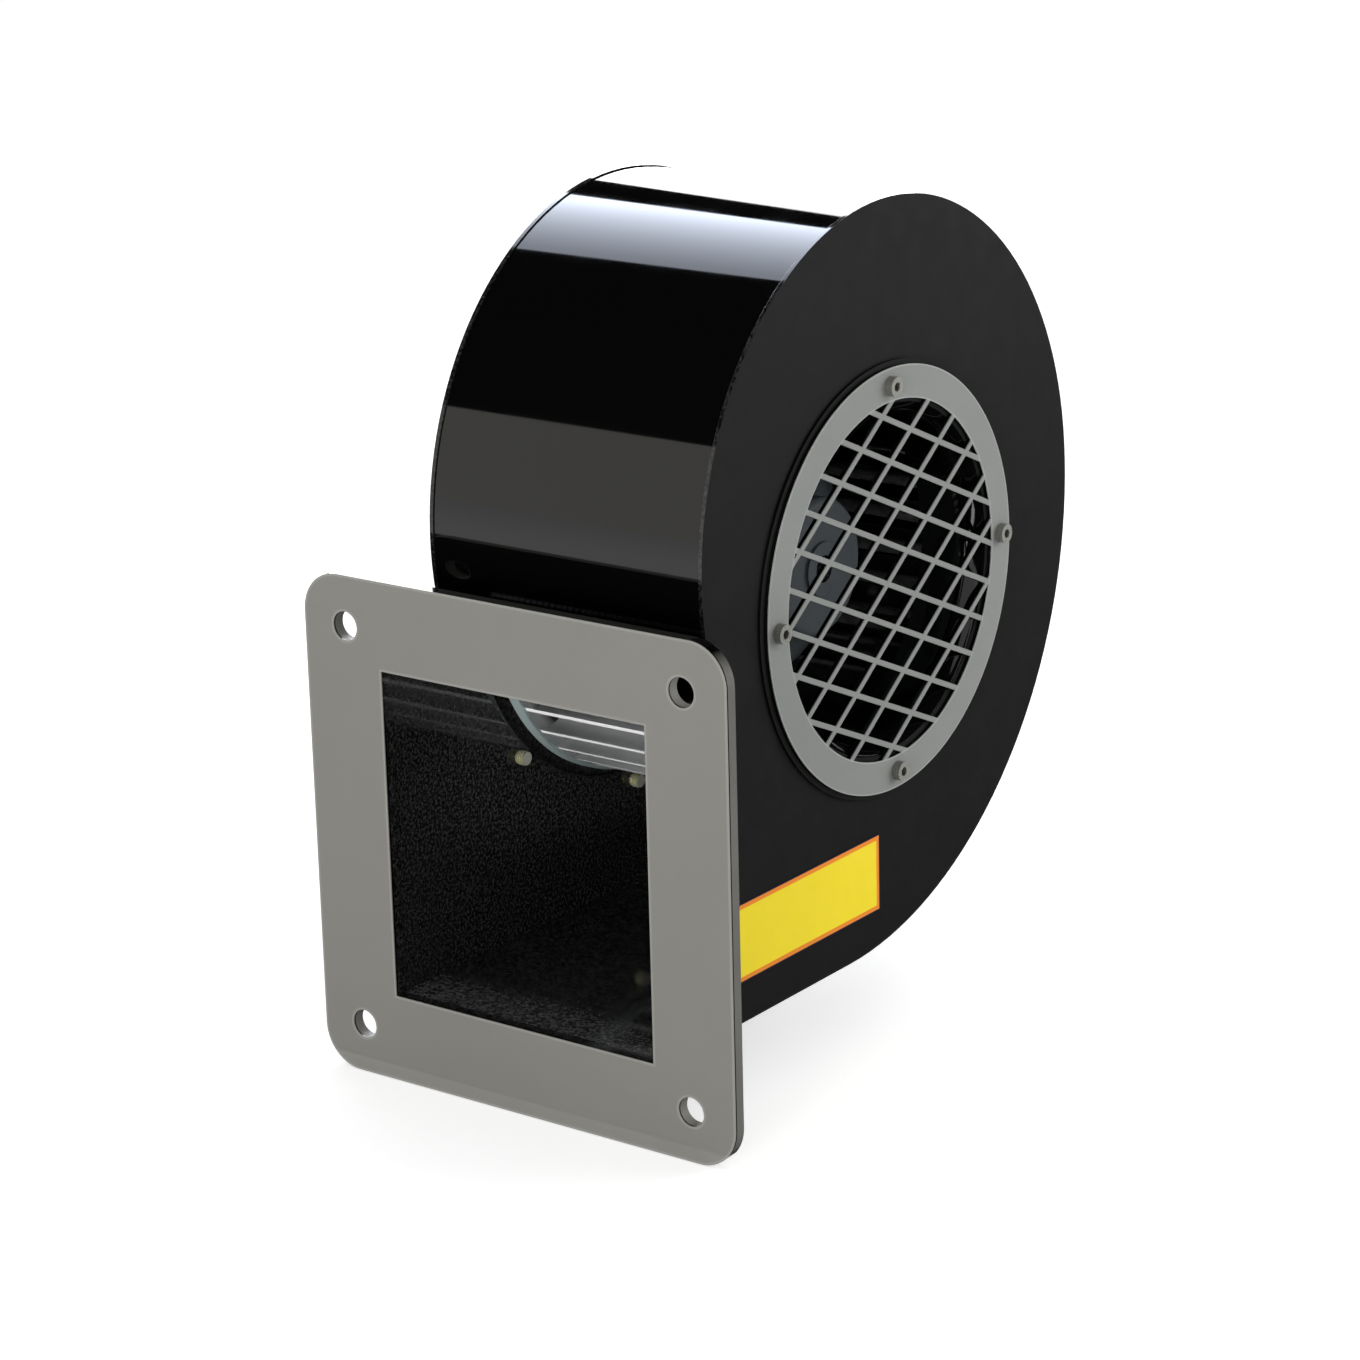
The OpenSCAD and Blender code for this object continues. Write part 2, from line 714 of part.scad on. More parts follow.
// Split retaining ring in the shaft's groove, behind the rear bearing
module shaft_circlip() {
  color(zinc) on_axis(circlip_x) linear_extrude(circlip_t) difference() {
    ring(groove_r + fit_gap, groove_r + circlip_w);
    translate([0, -circlip_w / 2]) square([reach, circlip_w]);
  }
}

// Back disc with its rim folded forwards round the blades
module impeller_disc() {
  color(galvanised) difference() {
    on_axis() rotate_extrude() {
      translate([can_in_r, wheel_back_x]) square([wheel_r - can_in_r, disc_t]);
      translate([wheel_r - disc_t, wheel_back_x]) square([disc_t, rim_depth]);
    }
    on_axis(wheel_back_x - overrun) linear_extrude(2 * overrun)
      around(rivet_count, rivet_r) circle(d = rivet_d + 2 * fit_gap);
  }
}

// Section of one blade: its hollow side leads as the wheel turns clockwise, seen from the inlet
module blade_area() {
  intersection() {
    translate([blade_curve_c, 0]) ring(blade_curve_r - blade_t / 2, blade_curve_r + blade_t / 2);
    ring(blade_in_r, blade_out_r);
    square(wheel_r);
  }
}

module impeller_blades() {
  color(galvanised) on_axis(blade_back_x) linear_extrude(blade_len)
    for (i = [0 : blade_count - 1]) rotate(i * 360 / blade_count) blade_area();
}

// Front ring with its rims folded back, outside round the blades and inside round the inlet
module impeller_ring() {
  color(galvanised) on_axis() rotate_extrude() {
    translate([ring_in_r, wheel_front_x - disc_t]) square([wheel_r - ring_in_r, disc_t]);
    translate([wheel_r - disc_t, wheel_front_x - rim_depth]) square([disc_t, rim_depth]);
    translate([ring_in_r, wheel_front_x - rim_depth]) square([disc_t, rim_depth]);
  }
}

module impeller_rivets() {
  color(zinc) on_axis(wheel_back_x) around(rivet_count, rivet_r) {
    cylinder(h = disc_t + can_t, d = rivet_d);
    translate([0, 0, -rivet_head_h]) cylinder(h = rivet_head_h, d = rivet_head_d);
    translate([0, 0, disc_t + can_t]) cylinder(h = rivet_head_h, d = rivet_head_d);
  }
}

outlet_flange();
scroll_wrap();
inlet_side_plate();
motor_side_plate();
inlet_nozzle();
inlet_guard();
guard_screws();
guard_nuts();
rating_label();
motor_plate();
motor_plate_gasket();
motor_plate_screws();
motor_base();
motor_base_screws();
cable_bush();
bearing_cap();
stator_core();
stator_winding();
bearing_outer_front();
bearing_outer_rear();
preload_washer();
rotor_can();
rotor_cage();
motor_shaft();
bearing_inner_front();
bearing_inner_rear();
shaft_circlip();
impeller_disc();
impeller_blades();
impeller_ring();
impeller_rivets();
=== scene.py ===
"""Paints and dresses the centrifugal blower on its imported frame, and sets its white studio."""

import json
import math

import bmesh
import bpy
from mathutils import Euler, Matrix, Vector


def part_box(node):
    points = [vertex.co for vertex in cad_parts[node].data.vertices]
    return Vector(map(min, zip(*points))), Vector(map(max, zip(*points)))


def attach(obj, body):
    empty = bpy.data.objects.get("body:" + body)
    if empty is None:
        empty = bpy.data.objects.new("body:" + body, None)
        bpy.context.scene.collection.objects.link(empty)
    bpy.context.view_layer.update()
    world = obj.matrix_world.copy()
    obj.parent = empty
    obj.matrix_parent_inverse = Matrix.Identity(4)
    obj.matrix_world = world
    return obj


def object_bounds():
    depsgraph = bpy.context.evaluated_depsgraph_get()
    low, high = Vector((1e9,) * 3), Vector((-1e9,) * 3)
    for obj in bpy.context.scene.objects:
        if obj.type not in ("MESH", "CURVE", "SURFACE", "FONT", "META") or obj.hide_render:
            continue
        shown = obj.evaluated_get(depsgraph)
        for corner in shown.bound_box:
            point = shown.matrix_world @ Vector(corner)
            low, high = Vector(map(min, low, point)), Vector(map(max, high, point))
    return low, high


bl_info = {
    "name": "Centrifugal Blower",
    "version": (1, 0, 0),
    "blender": (4, 5, 0),
    "location": "View3D > Sidebar > Blower",
    "description": "Paints and dresses a scroll-cased centrifugal blower and lights it in a white studio",
    "category": "Object",
}

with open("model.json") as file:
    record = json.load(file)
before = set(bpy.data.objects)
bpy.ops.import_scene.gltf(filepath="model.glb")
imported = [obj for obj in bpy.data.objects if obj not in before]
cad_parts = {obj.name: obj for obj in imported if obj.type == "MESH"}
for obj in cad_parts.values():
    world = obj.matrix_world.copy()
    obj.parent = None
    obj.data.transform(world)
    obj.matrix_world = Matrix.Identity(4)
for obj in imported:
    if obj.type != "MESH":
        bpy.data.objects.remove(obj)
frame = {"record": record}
cad_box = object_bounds()
MM = 0.001
CASING = "casing"
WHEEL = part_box("impeller_disc")
WHEEL_Y = (WHEEL[0].y + WHEEL[1].y) / 2
WHEEL_Z = (WHEEL[0].z + WHEEL[1].z) / 2
BOLTS = next(mount for mount in frame["record"]["mounts"] if mount["name"] == "outlet_bolts")["dims"]


def colour_property(name, description, default):
    """A paint or metal colour that the user may change."""
    return bpy.props.FloatVectorProperty(
        name=name, description=description, default=default, subtype="COLOR", size=3, min=0, max=1
    )


def length_property(name, description, default):
    """A length that the user may change."""
    return bpy.props.FloatProperty(
        name=name, description=description, default=default, min=0, unit="LENGTH", precision=4
    )


class BlowerPaints(bpy.types.PropertyGroup):
    """Colours of the blower's paints, metals and label."""

    flange: colour_property("Flange grey", "Powder coat of the outlet flange", (0.255, 0.25, 0.232))
    scroll: colour_property(
        "Scroll black", "Gloss paint of the scroll's strip and the nozzle", (0.0022, 0.0022, 0.0022)
    )
    side: colour_property("Side black", "Satin paint of the sides and the motor plate", (0.016, 0.016, 0.016))
    guard: colour_property("Guard grey", "Powder coat of the inlet guard", (0.262, 0.272, 0.26))
    zinc: colour_property("Zinc", "Plated screws, nuts and rivets", (0.34, 0.34, 0.31))
    # blades is a lighter copy of the galvanised sheet: painted light on the blades.
    blades: colour_property("Blades", "Clean zinc of the blades where the air sweeps them", (0.95, 0.96, 0.97))
    lip: colour_property("Wheel lip", "Dull zinc on the folded lip of the wheel's disc", (0.27, 0.33, 0.33))
    tip: colour_property("Screw tips", "Olive passivation of the motor plate's screws", (0.24, 0.24, 0.12))
    # floor colours the lighter grains near the outlet's mouth: painted light on the duct's floor.
    floor: colour_property("Duct floor", "Thin, grainy paint on the duct's floor", (0.05, 0.05, 0.05))
    galvanised: colour_property("Galvanised steel", "Sheet of the wheel", (0.82, 0.84, 0.83))
    rotor: colour_property("Rotor grey", "Paint of the rotor's can", (0.085, 0.098, 0.106))
    casting: colour_property("Cast aluminium", "Metal of the motor's base", (0.4, 0.41, 0.41))
    core: colour_property("Core steel", "Laminations of the stator and the rotor's cage", (0.25, 0.26, 0.27))
    copper: colour_property("Copper wire", "Enamelled wire of the winding", (0.46, 0.16, 0.045))
    bearing: colour_property("Bearing steel", "Rings, shaft and circlip", (0.36, 0.38, 0.4))
    rubber: colour_property("Rubber", "Cable bush and gasket", (0.012, 0.012, 0.012))
    plastic: colour_property("Plastic", "Bearing cap", (0.014, 0.014, 0.015))
    label: colour_property("Label yellow", "Field of the label", (1.0, 0.8, 0.024))
    label_border: colour_property("Label border", "Border of the label", (0.92, 0.28, 0.03))
    label_line: colour_property("Label line", "Thin line round the label's border", (0.02, 0.02, 0.05))


class BlowerSizes(bpy.types.PropertyGroup):
    """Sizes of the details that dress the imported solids."""

    edge: length_property("Edge round", "Radius at which sheet edges catch the light", 0.25 * MM)
    label_border: length_property("Label border", "Width of the label's border", 1.3 * MM)
    label_line: length_property("Label line", "Width of the line outside the border", 0.35 * MM)
    opening_width: length_property("Opening width", "Width of the outlet flange's opening", 91.3 * MM)
    opening_height: length_property("Opening height", "Height of the outlet flange's opening", 96.8 * MM)
    flange_corner: length_property("Flange corner", "Radius of the outlet flange's corners", 12.0 * MM)
    guard_ring: length_property("Guard ring", "Width of the guard's ring", 9.7 * MM)
    # rim sets the width of the painted highlight along coated edges.
    rim: length_property("Coat rim", "Width of the lighter, thicker coat along an edge", 0.8 * MM)
    thread_r: length_property("Thread radius", "Radius of the motor plate's screws", 2.0 * MM)
    thread_pitch: length_property("Thread pitch", "Rise of the threads in one turn", 0.7 * MM)
    thread_depth: length_property("Thread depth", "Height of the threads on the tips", 0.22 * MM)
    weld: length_property("Weld size", "Leg of the weld bead behind the flange", 1.8 * MM)
    weld_ripple: length_property("Weld ripple", "Spacing of the weld's ripples", 2.2 * MM)


class BlowerStudio(bpy.types.PropertyGroup):
    """Camera and light of the studio."""

    camera_place: bpy.props.FloatVectorProperty(
        name="Camera place", description="Where the camera stands", size=3, subtype="XYZ",
        default=(0.6605153, -0.8087818, 0.3777697),
    )
    camera_turn: bpy.props.FloatVectorProperty(
        name="Camera turn", description="How the camera is turned", size=3, subtype="EULER",
        default=(1.2683074, 0.0237018, 0.6329497),
    )
    lens: bpy.props.FloatProperty(
        name="Lens", description="Focal length on a sensor 36 mm wide", default=106.7156, min=20, max=400
    )
    room: bpy.props.FloatProperty(
        name="Room light", description="Strength of the even light from all sides", default=0.62, min=0, max=3
    )
    key: bpy.props.FloatProperty(
        name="Top lamp", description="Power of the soft lamp above and behind", default=9, min=0, max=200
    )
    fill: bpy.props.FloatProperty(
        name="Front lamp", description="Power of the soft lamp before the outlet", default=7.8, min=0, max=200
    )
    side: bpy.props.FloatProperty(
        name="Side lamp", description="Power of the soft lamp on the inlet's side", default=9.8, min=0, max=200
    )
    outlet: bpy.props.FloatProperty(
        name="Outlet lamp", description="Power of the narrow lamp that shines into the outlet", default=18,
        min=0, max=400,
    )
    outlet_cone: bpy.props.FloatProperty(
        name="Outlet lamp's cone", description="Full angle of the narrow lamp", default=math.radians(6.6),
        min=0, max=3, subtype="ANGLE",
    )


class Finish:
    """One surface finish: a Principled shader and the nodes that feed it."""

    def __init__(self, name, colour, roughness, metallic=0.0, specular=0.5, coat=0.0, coat_roughness=0.03):
        self.material = bpy.data.materials.new(name)
        self.material.use_nodes = True
        self.nodes = self.material.node_tree.nodes
        self.links = self.material.node_tree.links
        self.nodes.clear()
        output = self.nodes.new("ShaderNodeOutputMaterial")
        self.shader = self.nodes.new("ShaderNodeBsdfPrincipled")
        self.links.new(self.shader.outputs["BSDF"], output.inputs["Surface"])
        self.colour = (*colour, 1.0)
        self.roughness = roughness
        self.shader.inputs["Base Color"].default_value = self.colour
        self.shader.inputs["Roughness"].default_value = roughness
        self.shader.inputs["Metallic"].default_value = metallic
        self.shader.inputs["Specular IOR Level"].default_value = specular
        self.shader.inputs["Coat Weight"].default_value = coat
        self.shader.inputs["Coat Roughness"].default_value = coat_roughness
        self.material.diffuse_color = self.colour
        self.point = self.nodes.new("ShaderNodeTexCoord").outputs["Object"]
        self.tint = None
        self.relief = None

    def node(self, kind, inputs=None, **settings):
        """Adds a node. An input is either another node's socket or a value."""
        made = self.nodes.new(kind)
        for key, value in settings.items():
            setattr(made, key, value)
        for key, value in (inputs or {}).items():
            if isinstance(value, bpy.types.NodeSocket):
                self.links.new(value, made.inputs[key])
            else:
                made.inputs[key].default_value = value
        return made

    def stretched(self, scale):
        """The object's own coordinates, stretched along its axes."""
        return self.node("ShaderNodeMapping", {"Vector": self.point, "Scale": scale}).outputs[0]

    def noise(self, size, detail, rough=0.5, at=None):
        """Soft noise whose features are about size metres wide."""
        return self.node(
            "ShaderNodeTexNoise",
            {"Vector": at or self.point, "Scale": 1 / size, "Detail": detail, "Roughness": rough},
        ).outputs["Fac"]

    def bands(self, size, direction, distortion, detail):
        """Bands about size metres wide that run across a direction."""
        scale = 1 / size / 20 * math.pi
        return self.node(
            "ShaderNodeTexWave",
            {"Vector": self.point, "Scale": scale, "Distortion": distortion, "Detail": detail},
            bands_direction=direction,
        ).outputs["Fac"]

    def spread(self, value, low, high, to_low=0.0, to_high=1.0):
        """Maps low..high to to_low..to_high and holds it there."""
        return self.node(
            "ShaderNodeMapRange",
            {"Value": value, "From Min": low, "From Max": high, "To Min": to_low, "To Max": to_high},
        ).outputs[0]

    def maths(self, operation, a, b=0.0):
        """Result of one sum on two values or sockets."""
        return self.node("ShaderNodeMath", {0: a, 1: b}, operation=operation).outputs[0]

    def shade(self, share, colour):
        """Mixes a colour over the base colour by share."""
        mix = self.node("ShaderNodeMix", {"Factor": share}, data_type="RGBA")
        if self.tint is None:
            mix.inputs[6].default_value = self.colour
        else:
            self.links.new(self.tint, mix.inputs[6])
        mix.inputs[7].default_value = (*colour, 1.0)
        self.tint = mix.outputs[2]
        self.links.new(self.tint, self.shader.inputs["Base Color"])

    def vary_roughness(self, value, low, high):
        """Lets the roughness run from low to high with a value."""
        self.gloss = self.spread(value, 0.3, 0.7, low, high)
        self.links.new(self.gloss, self.shader.inputs["Roughness"])

    def soften(self, share, low, high, value):
        """Where share is 1 the surface is satin between low and high, and elsewhere it keeps its gloss."""
        satin = self.spread(value, 0.3, 0.7, low, high)
        mix = self.node("ShaderNodeMix", {"Factor": share, 2: self.gloss, 3: satin})
        self.links.new(mix.outputs[0], self.shader.inputs["Roughness"])

    def along(self, axis):
        """The object's own coordinate along an axis."""
        return self.node("ShaderNodeSeparateXYZ", {0: self.point}).outputs[axis]

    def off_axis(self):
        """How far the point lies aside of the fan's axis, and above it."""
        aside = self.maths("SUBTRACT", self.along("Y"), WHEEL_Y)
        above = self.maths("SUBTRACT", self.along("Z"), WHEEL_Z)
        return aside, above

    def from_axis(self):
        """Distance from the fan's axis."""
        return self.reach(*self.off_axis())

    def ahead(self):
        """How far the surface faces the way the wheel turns: 1 is straight ahead."""
        aside, above = self.off_axis()
        way = self.node("ShaderNodeCombineXYZ", {1: above, 2: self.maths("MULTIPLY", aside, -1.0)})
        way = self.node("ShaderNodeVectorMath", {0: way.outputs[0]}, operation="NORMALIZE")
        facing = self.node("ShaderNodeTexCoord").outputs["Normal"]
        return self.node(
            "ShaderNodeVectorMath", {0: way.outputs[0], 1: facing}, operation="DOT_PRODUCT"
        ).outputs["Value"]

    def facing(self, axis):
        """How far the surface faces along an axis of the object."""
        normal = self.node("ShaderNodeTexCoord").outputs["Normal"]
        return self.node("ShaderNodeSeparateXYZ", {0: normal}).outputs[axis]

    def reach(self, a, b):
        """Length of a line that runs a one way and b the other."""
        square = self.maths("ADD", self.maths("MULTIPLY", a, a), self.maths("MULTIPLY", b, b))
        return self.maths("SQRT", square)

    def raise_surface(self, height, depth, strength=1.0):
        """Adds relief of about depth metres to the surface."""
        bump = self.node("ShaderNodeBump", {"Height": height, "Distance": depth, "Strength": strength})
        if self.relief is not None:
            self.links.new(self.relief, bump.inputs["Normal"])
        self.relief = bump.outputs[0]
        self.links.new(self.relief, self.shader.inputs["Normal"])

    def round_edges(self, radius):
        """Lets sharp edges catch the light as a small round would."""
        bevel = self.node("ShaderNodeBevel", {"Radius": radius}, samples=4)
        if self.relief is not None:
            self.links.new(self.relief, bevel.inputs["Normal"])
        self.relief = bevel.outputs[0]
        self.links.new(self.relief, self.shader.inputs["Normal"])

    def edge_share(self, radius):
        """1 on edges sharper than the radius, 0 on flats."""
        bevel = self.node("ShaderNodeBevel", {"Radius": radius}, samples=4).outputs[0]
        flat = self.node("ShaderNodeNewGeometry").outputs["Normal"]
        near = self.node("ShaderNodeVectorMath", {0: bevel, 1: flat}, operation="DOT_PRODUCT")
        return self.spread(near.outputs["Value"], 0.995, 0.9)

    def wear_edges(self, radius, colour, amount):
        """Rubs the edges through to another colour in patches."""
        patches = self.spread(self.noise(2.5 * MM, 4.0), 0.45, 0.6)
        share = self.maths("MULTIPLY", self.edge_share(radius), patches)
        self.shade(self.maths("MULTIPLY", share, amount), colour)

    def put_on(self, *names):
        """Puts the finish on CAD nodes or new pieces."""
        for name in names:
            mesh = bpy.data.objects[name].data
            mesh.materials.clear()
            mesh.materials.append(self.material)


def darker(colour, gain):
    """The colour times a gain below 1."""
    return [gain * c for c in colour]


def lighter(colour, gain, lift=0.0):
    """The colour times a gain, lifted, and held below white."""
    return [min(1, gain * c + lift) for c in colour]


def paints():
    return bpy.context.scene.blower_paints


def sizes():
    return bpy.context.scene.blower_sizes


def powder_coat(name, colour, roughness, grain):
    """Satin powder coat with a fine orange peel, faint clouds and rubbed edges."""
    finish = Finish(name, colour, roughness)
    clouds = finish.noise(38 * MM, 3.0)
    finish.shade(finish.spread(clouds, 0.4, 0.7, 0, 0.45), darker(colour, 0.9))
    finish.wear_edges(0.35 * MM, lighter(colour, 1.5, 0.04), 0.5)
    finish.vary_roughness(finish.noise(9 * MM, 3.0), roughness - 0.05, roughness + 0.06)
    finish.raise_surface(finish.noise(grain, 2.0), 0.012 * MM, 0.6)
    finish.round_edges(sizes().edge)
    return finish


def speckle(finish, share, colour):
    """Thin, grainy paint inside the casing, where the coat barely reaches: light grains on a dark ground."""
    ground, grain = 0.2, 2.8
    finish.shade(share, darker(colour, ground))
    grains = finish.spread(finish.noise(1.0 * MM, 2.0, 0.7), 0.4, 0.68)
    finish.shade(finish.maths("MULTIPLY", grains, share), lighter(colour, grain))


def gloss_paint(name, colour, thin, mouth_light_colour):
    """Deep gloss black with a very slight orange peel and hazy specks of dust. Where thin is 1 it is grainy,
    and near the outlet's mouth its grains are lighter: painted light where light falls in through the outlet."""
    finish = Finish(name, colour, 0.05)
    dust = finish.spread(finish.noise(0.35 * MM, 3.0, 0.7), 0.6, 0.75)
    finish.shade(finish.maths("MULTIPLY", dust, 0.2), (0.03, 0.03, 0.028))
    share = thin(finish)
    speckle(finish, share, paints().side)
    # Painted light: lighter grains on the floor near the outlet's mouth.
    mouth_light = finish.spread(finish.along("Y"), 24 * MM, 14 * MM)
    speckle(finish, finish.maths("MULTIPLY", share, mouth_light), mouth_light_colour)
    finish.vary_roughness(finish.noise(14 * MM, 4.0), 0.035, 0.06)
    finish.soften(share, 0.05, 0.08, finish.noise(6 * MM, 3.0))
    finish.raise_surface(finish.noise(1.6 * MM, 1.0), 0.0005 * MM, 0.5)
    finish.round_edges(sizes().edge)
    return finish


def coated_face(name, colour, face, grain, rim, highlight_gain, lit_wall_share=None, inside=None):
    """Gloss black sheet whose face alone is powder coated. face is 1 on the coat, and inside is 1 where the
    casing's thin paint is. An optional function gives the share of the coat's grey that is painted onto the cut
    edges, as painted light on them. Along the face's edges, where rim is 1, the coat is painted lighter as a
    painted highlight."""
    finish = Finish(name, paints().scroll, 0.06)
    finish.vary_roughness(finish.noise(6 * MM, 3.0), 0.04, 0.08)
    coat = face(finish)
    # Painted light: where the optional function gives a share, the cut edges take the coat's grey.
    if lit_wall_share:
        coat = finish.maths("MAXIMUM", coat, lit_wall_share(finish))
    finish.shade(coat, colour)
    clouds = finish.spread(finish.noise(38 * MM, 3.0), 0.4, 0.7, 0, 0.4)
    finish.shade(finish.maths("MULTIPLY", coat, clouds), darker(colour, 0.93))
    # Painted highlight: the coat is painted lighter along the face's edges, where rim is 1.
    edge = finish.maths("MULTIPLY", rim(finish), face(finish))
    finish.shade(edge, lighter(colour, highlight_gain))
    if inside:
        speckle(finish, inside(finish), paints().side)
    finish.soften(coat, 0.5, 0.62, finish.noise(9 * MM, 3.0))
    finish.raise_surface(finish.maths("MULTIPLY", coat, finish.noise(grain, 2.0)), 0.012 * MM, 0.6)
    finish.round_edges(sizes().edge)
    return finish


def side_sheet(name, colour):
    """Satin charcoal outside; glossy and speckled inside the casing and along the sheet's edges."""
    finish = Finish(name, colour, 0.06)
    outer_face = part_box("inlet_side_plate")[1].x - 0.05 * MM
    outside = finish.spread(
        finish.maths("ABSOLUTE", finish.along("X")), outer_face - 0.02 * MM, outer_face + 0.02 * MM
    )
    inside = finish.maths("SUBTRACT", 1.0, outside)
    speckle(finish, inside, colour)
    clouds = finish.spread(finish.noise(45 * MM, 3.0), 0.4, 0.7, 0, 0.25)
    finish.shade(clouds, darker(colour, 0.85))
    finish.vary_roughness(finish.noise(6 * MM, 3.0), 0.05, 0.09)
    finish.soften(outside, 0.44, 0.56, finish.noise(9 * MM, 3.0))
    finish.raise_surface(finish.maths("MULTIPLY", outside, finish.noise(0.7 * MM, 2.0)), 0.01 * MM, 0.5)
    finish.round_edges(0.4 * sizes().edge)
    return finish


def plated_steel(name, colour, roughness):
    """Zinc plate with a fine turned grain and a little yellow passivation."""
    finish = Finish(name, colour, roughness, metallic=0.5)
    finish.shade(finish.spread(finish.noise(3 * MM, 3.0), 0.4, 0.7, 0, 0.35), (0.32, 0.28, 0.18))
    finish.vary_roughness(finish.noise(1.2 * MM, 3.0), roughness - 0.08, roughness + 0.1)
    finish.raise_surface(finish.noise(0.25 * MM, 2.0), 0.006 * MM, 0.5)
    finish.round_edges(0.12 * MM)
    return finish


def tip_steel(name):
    """Zinc plate with olive passivation on the threads, and a painted highlight: faces turned along +X, such as
    the tips' ends, are painted lighter.
    """
    finish = plated_steel(name, paints().tip, 0.34)
    # Painted highlight on faces turned along +X.
    finish.shade(finish.spread(finish.facing("X"), 0.6, 0.9), lighter(paints().zinc, 1.6))
    return finish


def socket_steel(name):
    """Zinc plate of the guard's socket heads, with painted light and shade: darker sides, a painted highlight
    on the face and painted shade in the socket.
    """
    zinc = paints().zinc
    finish = plated_steel(name, zinc, 0.32)
    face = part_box("guard_screws")[1].x
    # Painted shade on the sides, a painted highlight on the face, and painted shade in the socket's recess.
    finish.shade(finish.spread(finish.facing("X"), 0.8, 0.4, 0, 0.6), darker(zinc, 0.4))
    flat = finish.spread(finish.facing("X"), 0.6, 0.8)
    deep = finish.spread(finish.along("X"), face - 0.5 * MM, face - 0.8 * MM)
    raised = finish.maths("SUBTRACT", 1.0, deep)
    finish.shade(finish.maths("MULTIPLY", flat, raised), lighter(zinc, 1.5))
    finish.shade(finish.maths("MULTIPLY", flat, deep), darker(zinc, 0.08))
    return finish


def galvanised_sheet(name, colour, lip=None):
    """Hot-dip zinc: spangles of uneven brightness over a soft metal sheen, with painted shade that turns it
    near black deeper inside the wheel. The painted shade begins deeper on the outlet's side, and deeper still
    on faces turned the way the wheel runs. lip is the colour of the folded lips."""
    finish = Finish(name, colour, 0.34, metallic=0.3)
    spangle = finish.node("ShaderNodeTexVoronoi", {"Vector": finish.point, "Scale": 1 / (6 * MM)})
    bright = finish.node("ShaderNodeSeparateColor", {0: spangle.outputs["Color"]}).outputs[0]
    finish.shade(finish.spread(bright, 0.2, 0.9, 0, 0.3), darker(colour, 0.8))
    rim = WHEEL[1].z - WHEEL_Z
    reach = finish.from_axis()
    if lip:
        finish.shade(finish.spread(reach, rim - 1.6 * MM, rim - 1.3 * MM), lip)
    # Painted shade: near black deeper inside the wheel, beginning deeper on the outlet's side and on faces
    # turned the way the wheel runs.
    shade_reach = -3.5 * MM
    shade_shift = finish.spread(finish.along("Y"), WHEEL_Y - 8 * MM, WHEEL_Y - 22 * MM, shade_reach, 0)
    open_face_shift = finish.spread(finish.ahead(), 0.15, 0.5, 0, 4 * MM)
    open_face_shift = finish.maths("MULTIPLY", open_face_shift, finish.spread(shade_shift, shade_reach, 0))
    depth = finish.maths("ADD", reach, finish.maths("ADD", shade_shift, open_face_shift))
    dust = finish.spread(depth, rim - 5 * MM, rim - 8 * MM)
    patchy = finish.spread(finish.noise(4 * MM, 3.0), 0.2, 0.6, 0.985, 1.0)
    finish.shade(finish.maths("MULTIPLY", dust, patchy), (0.012, 0.012, 0.013))
    finish.vary_roughness(bright, 0.36, 0.48)
    finish.raise_surface(finish.noise(0.5 * MM, 3.0), 0.008 * MM, 0.5)
    finish.round_edges(0.12 * MM)
    return finish


def ground_steel(name, colour, roughness):
    """Bearing steel, ground round the fan's axis."""
    finish = Finish(name, colour, roughness, metallic=1.0)
    rings = finish.noise(0.12 * MM, 3.0, 0.6, finish.stretched((1, 0.06, 0.06)))
    finish.shade(finish.spread(rings, 0.35, 0.7, 0, 0.35), darker(colour, 0.6))
    finish.vary_roughness(rings, roughness - 0.05, roughness + 0.12)
    finish.raise_surface(rings, 0.003 * MM, 0.6)
    finish.round_edges(0.1 * MM)
    return finish


def cast_metal(name, colour):
    """Sand-blasted aluminium casting."""
    finish = Finish(name, colour, 0.52, metallic=1.0)
    finish.shade(finish.spread(finish.noise(7 * MM, 4.0), 0.4, 0.7, 0, 0.4), darker(colour, 0.6))
    finish.vary_roughness(finish.noise(1.5 * MM, 4.0), 0.45, 0.62)
    finish.raise_surface(finish.noise(0.5 * MM, 4.0, 0.6), 0.04 * MM, 0.7)
    finish.round_edges(0.3 * MM)
    return finish


def laminated_core(name, colour):
    """Stack of thin laminations across the fan's axis."""
    finish = Finish(name, colour, 0.42, metallic=1.0)
    stack = finish.bands(0.5 * MM, "X", 0.0, 2.0)
    finish.shade(finish.spread(stack, 0.0, 0.25, 0.8, 0), darker(colour, 0.25))
    finish.vary_roughness(finish.noise(2 * MM, 3.0), 0.36, 0.5)
    finish.raise_surface(stack, 0.05 * MM, 0.8)
    return finish


def wound_copper(name, colour):
    """Enamelled wire laid side by side."""
    finish = Finish(name, colour, 0.28, metallic=1.0, coat=0.4, coat_roughness=0.1)
    turns = finish.bands(0.6 * MM, "DIAGONAL", 1.5, 1.0)
    finish.shade(finish.spread(turns, 0.0, 0.35, 0.85, 0), darker(colour, 0.25))
    finish.vary_roughness(finish.noise(2 * MM, 3.0), 0.24, 0.36)
    finish.raise_surface(turns, 0.2 * MM, 0.9)
    return finish


def moulded(name, colour, roughness, grain):
    """Moulded rubber or plastic with a fine spark-eroded grain."""
    finish = Finish(name, colour, roughness, specular=0.4)
    finish.shade(finish.spread(finish.noise(5 * MM, 3.0), 0.45, 0.7, 0, 0.5), [c + 0.012 for c in colour])
    finish.vary_roughness(finish.noise(2 * MM, 3.0), roughness - 0.06, roughness + 0.08)
    finish.raise_surface(finish.noise(grain, 2.0), 0.02 * MM, 0.6)
    finish.round_edges(0.2 * MM)
    return finish


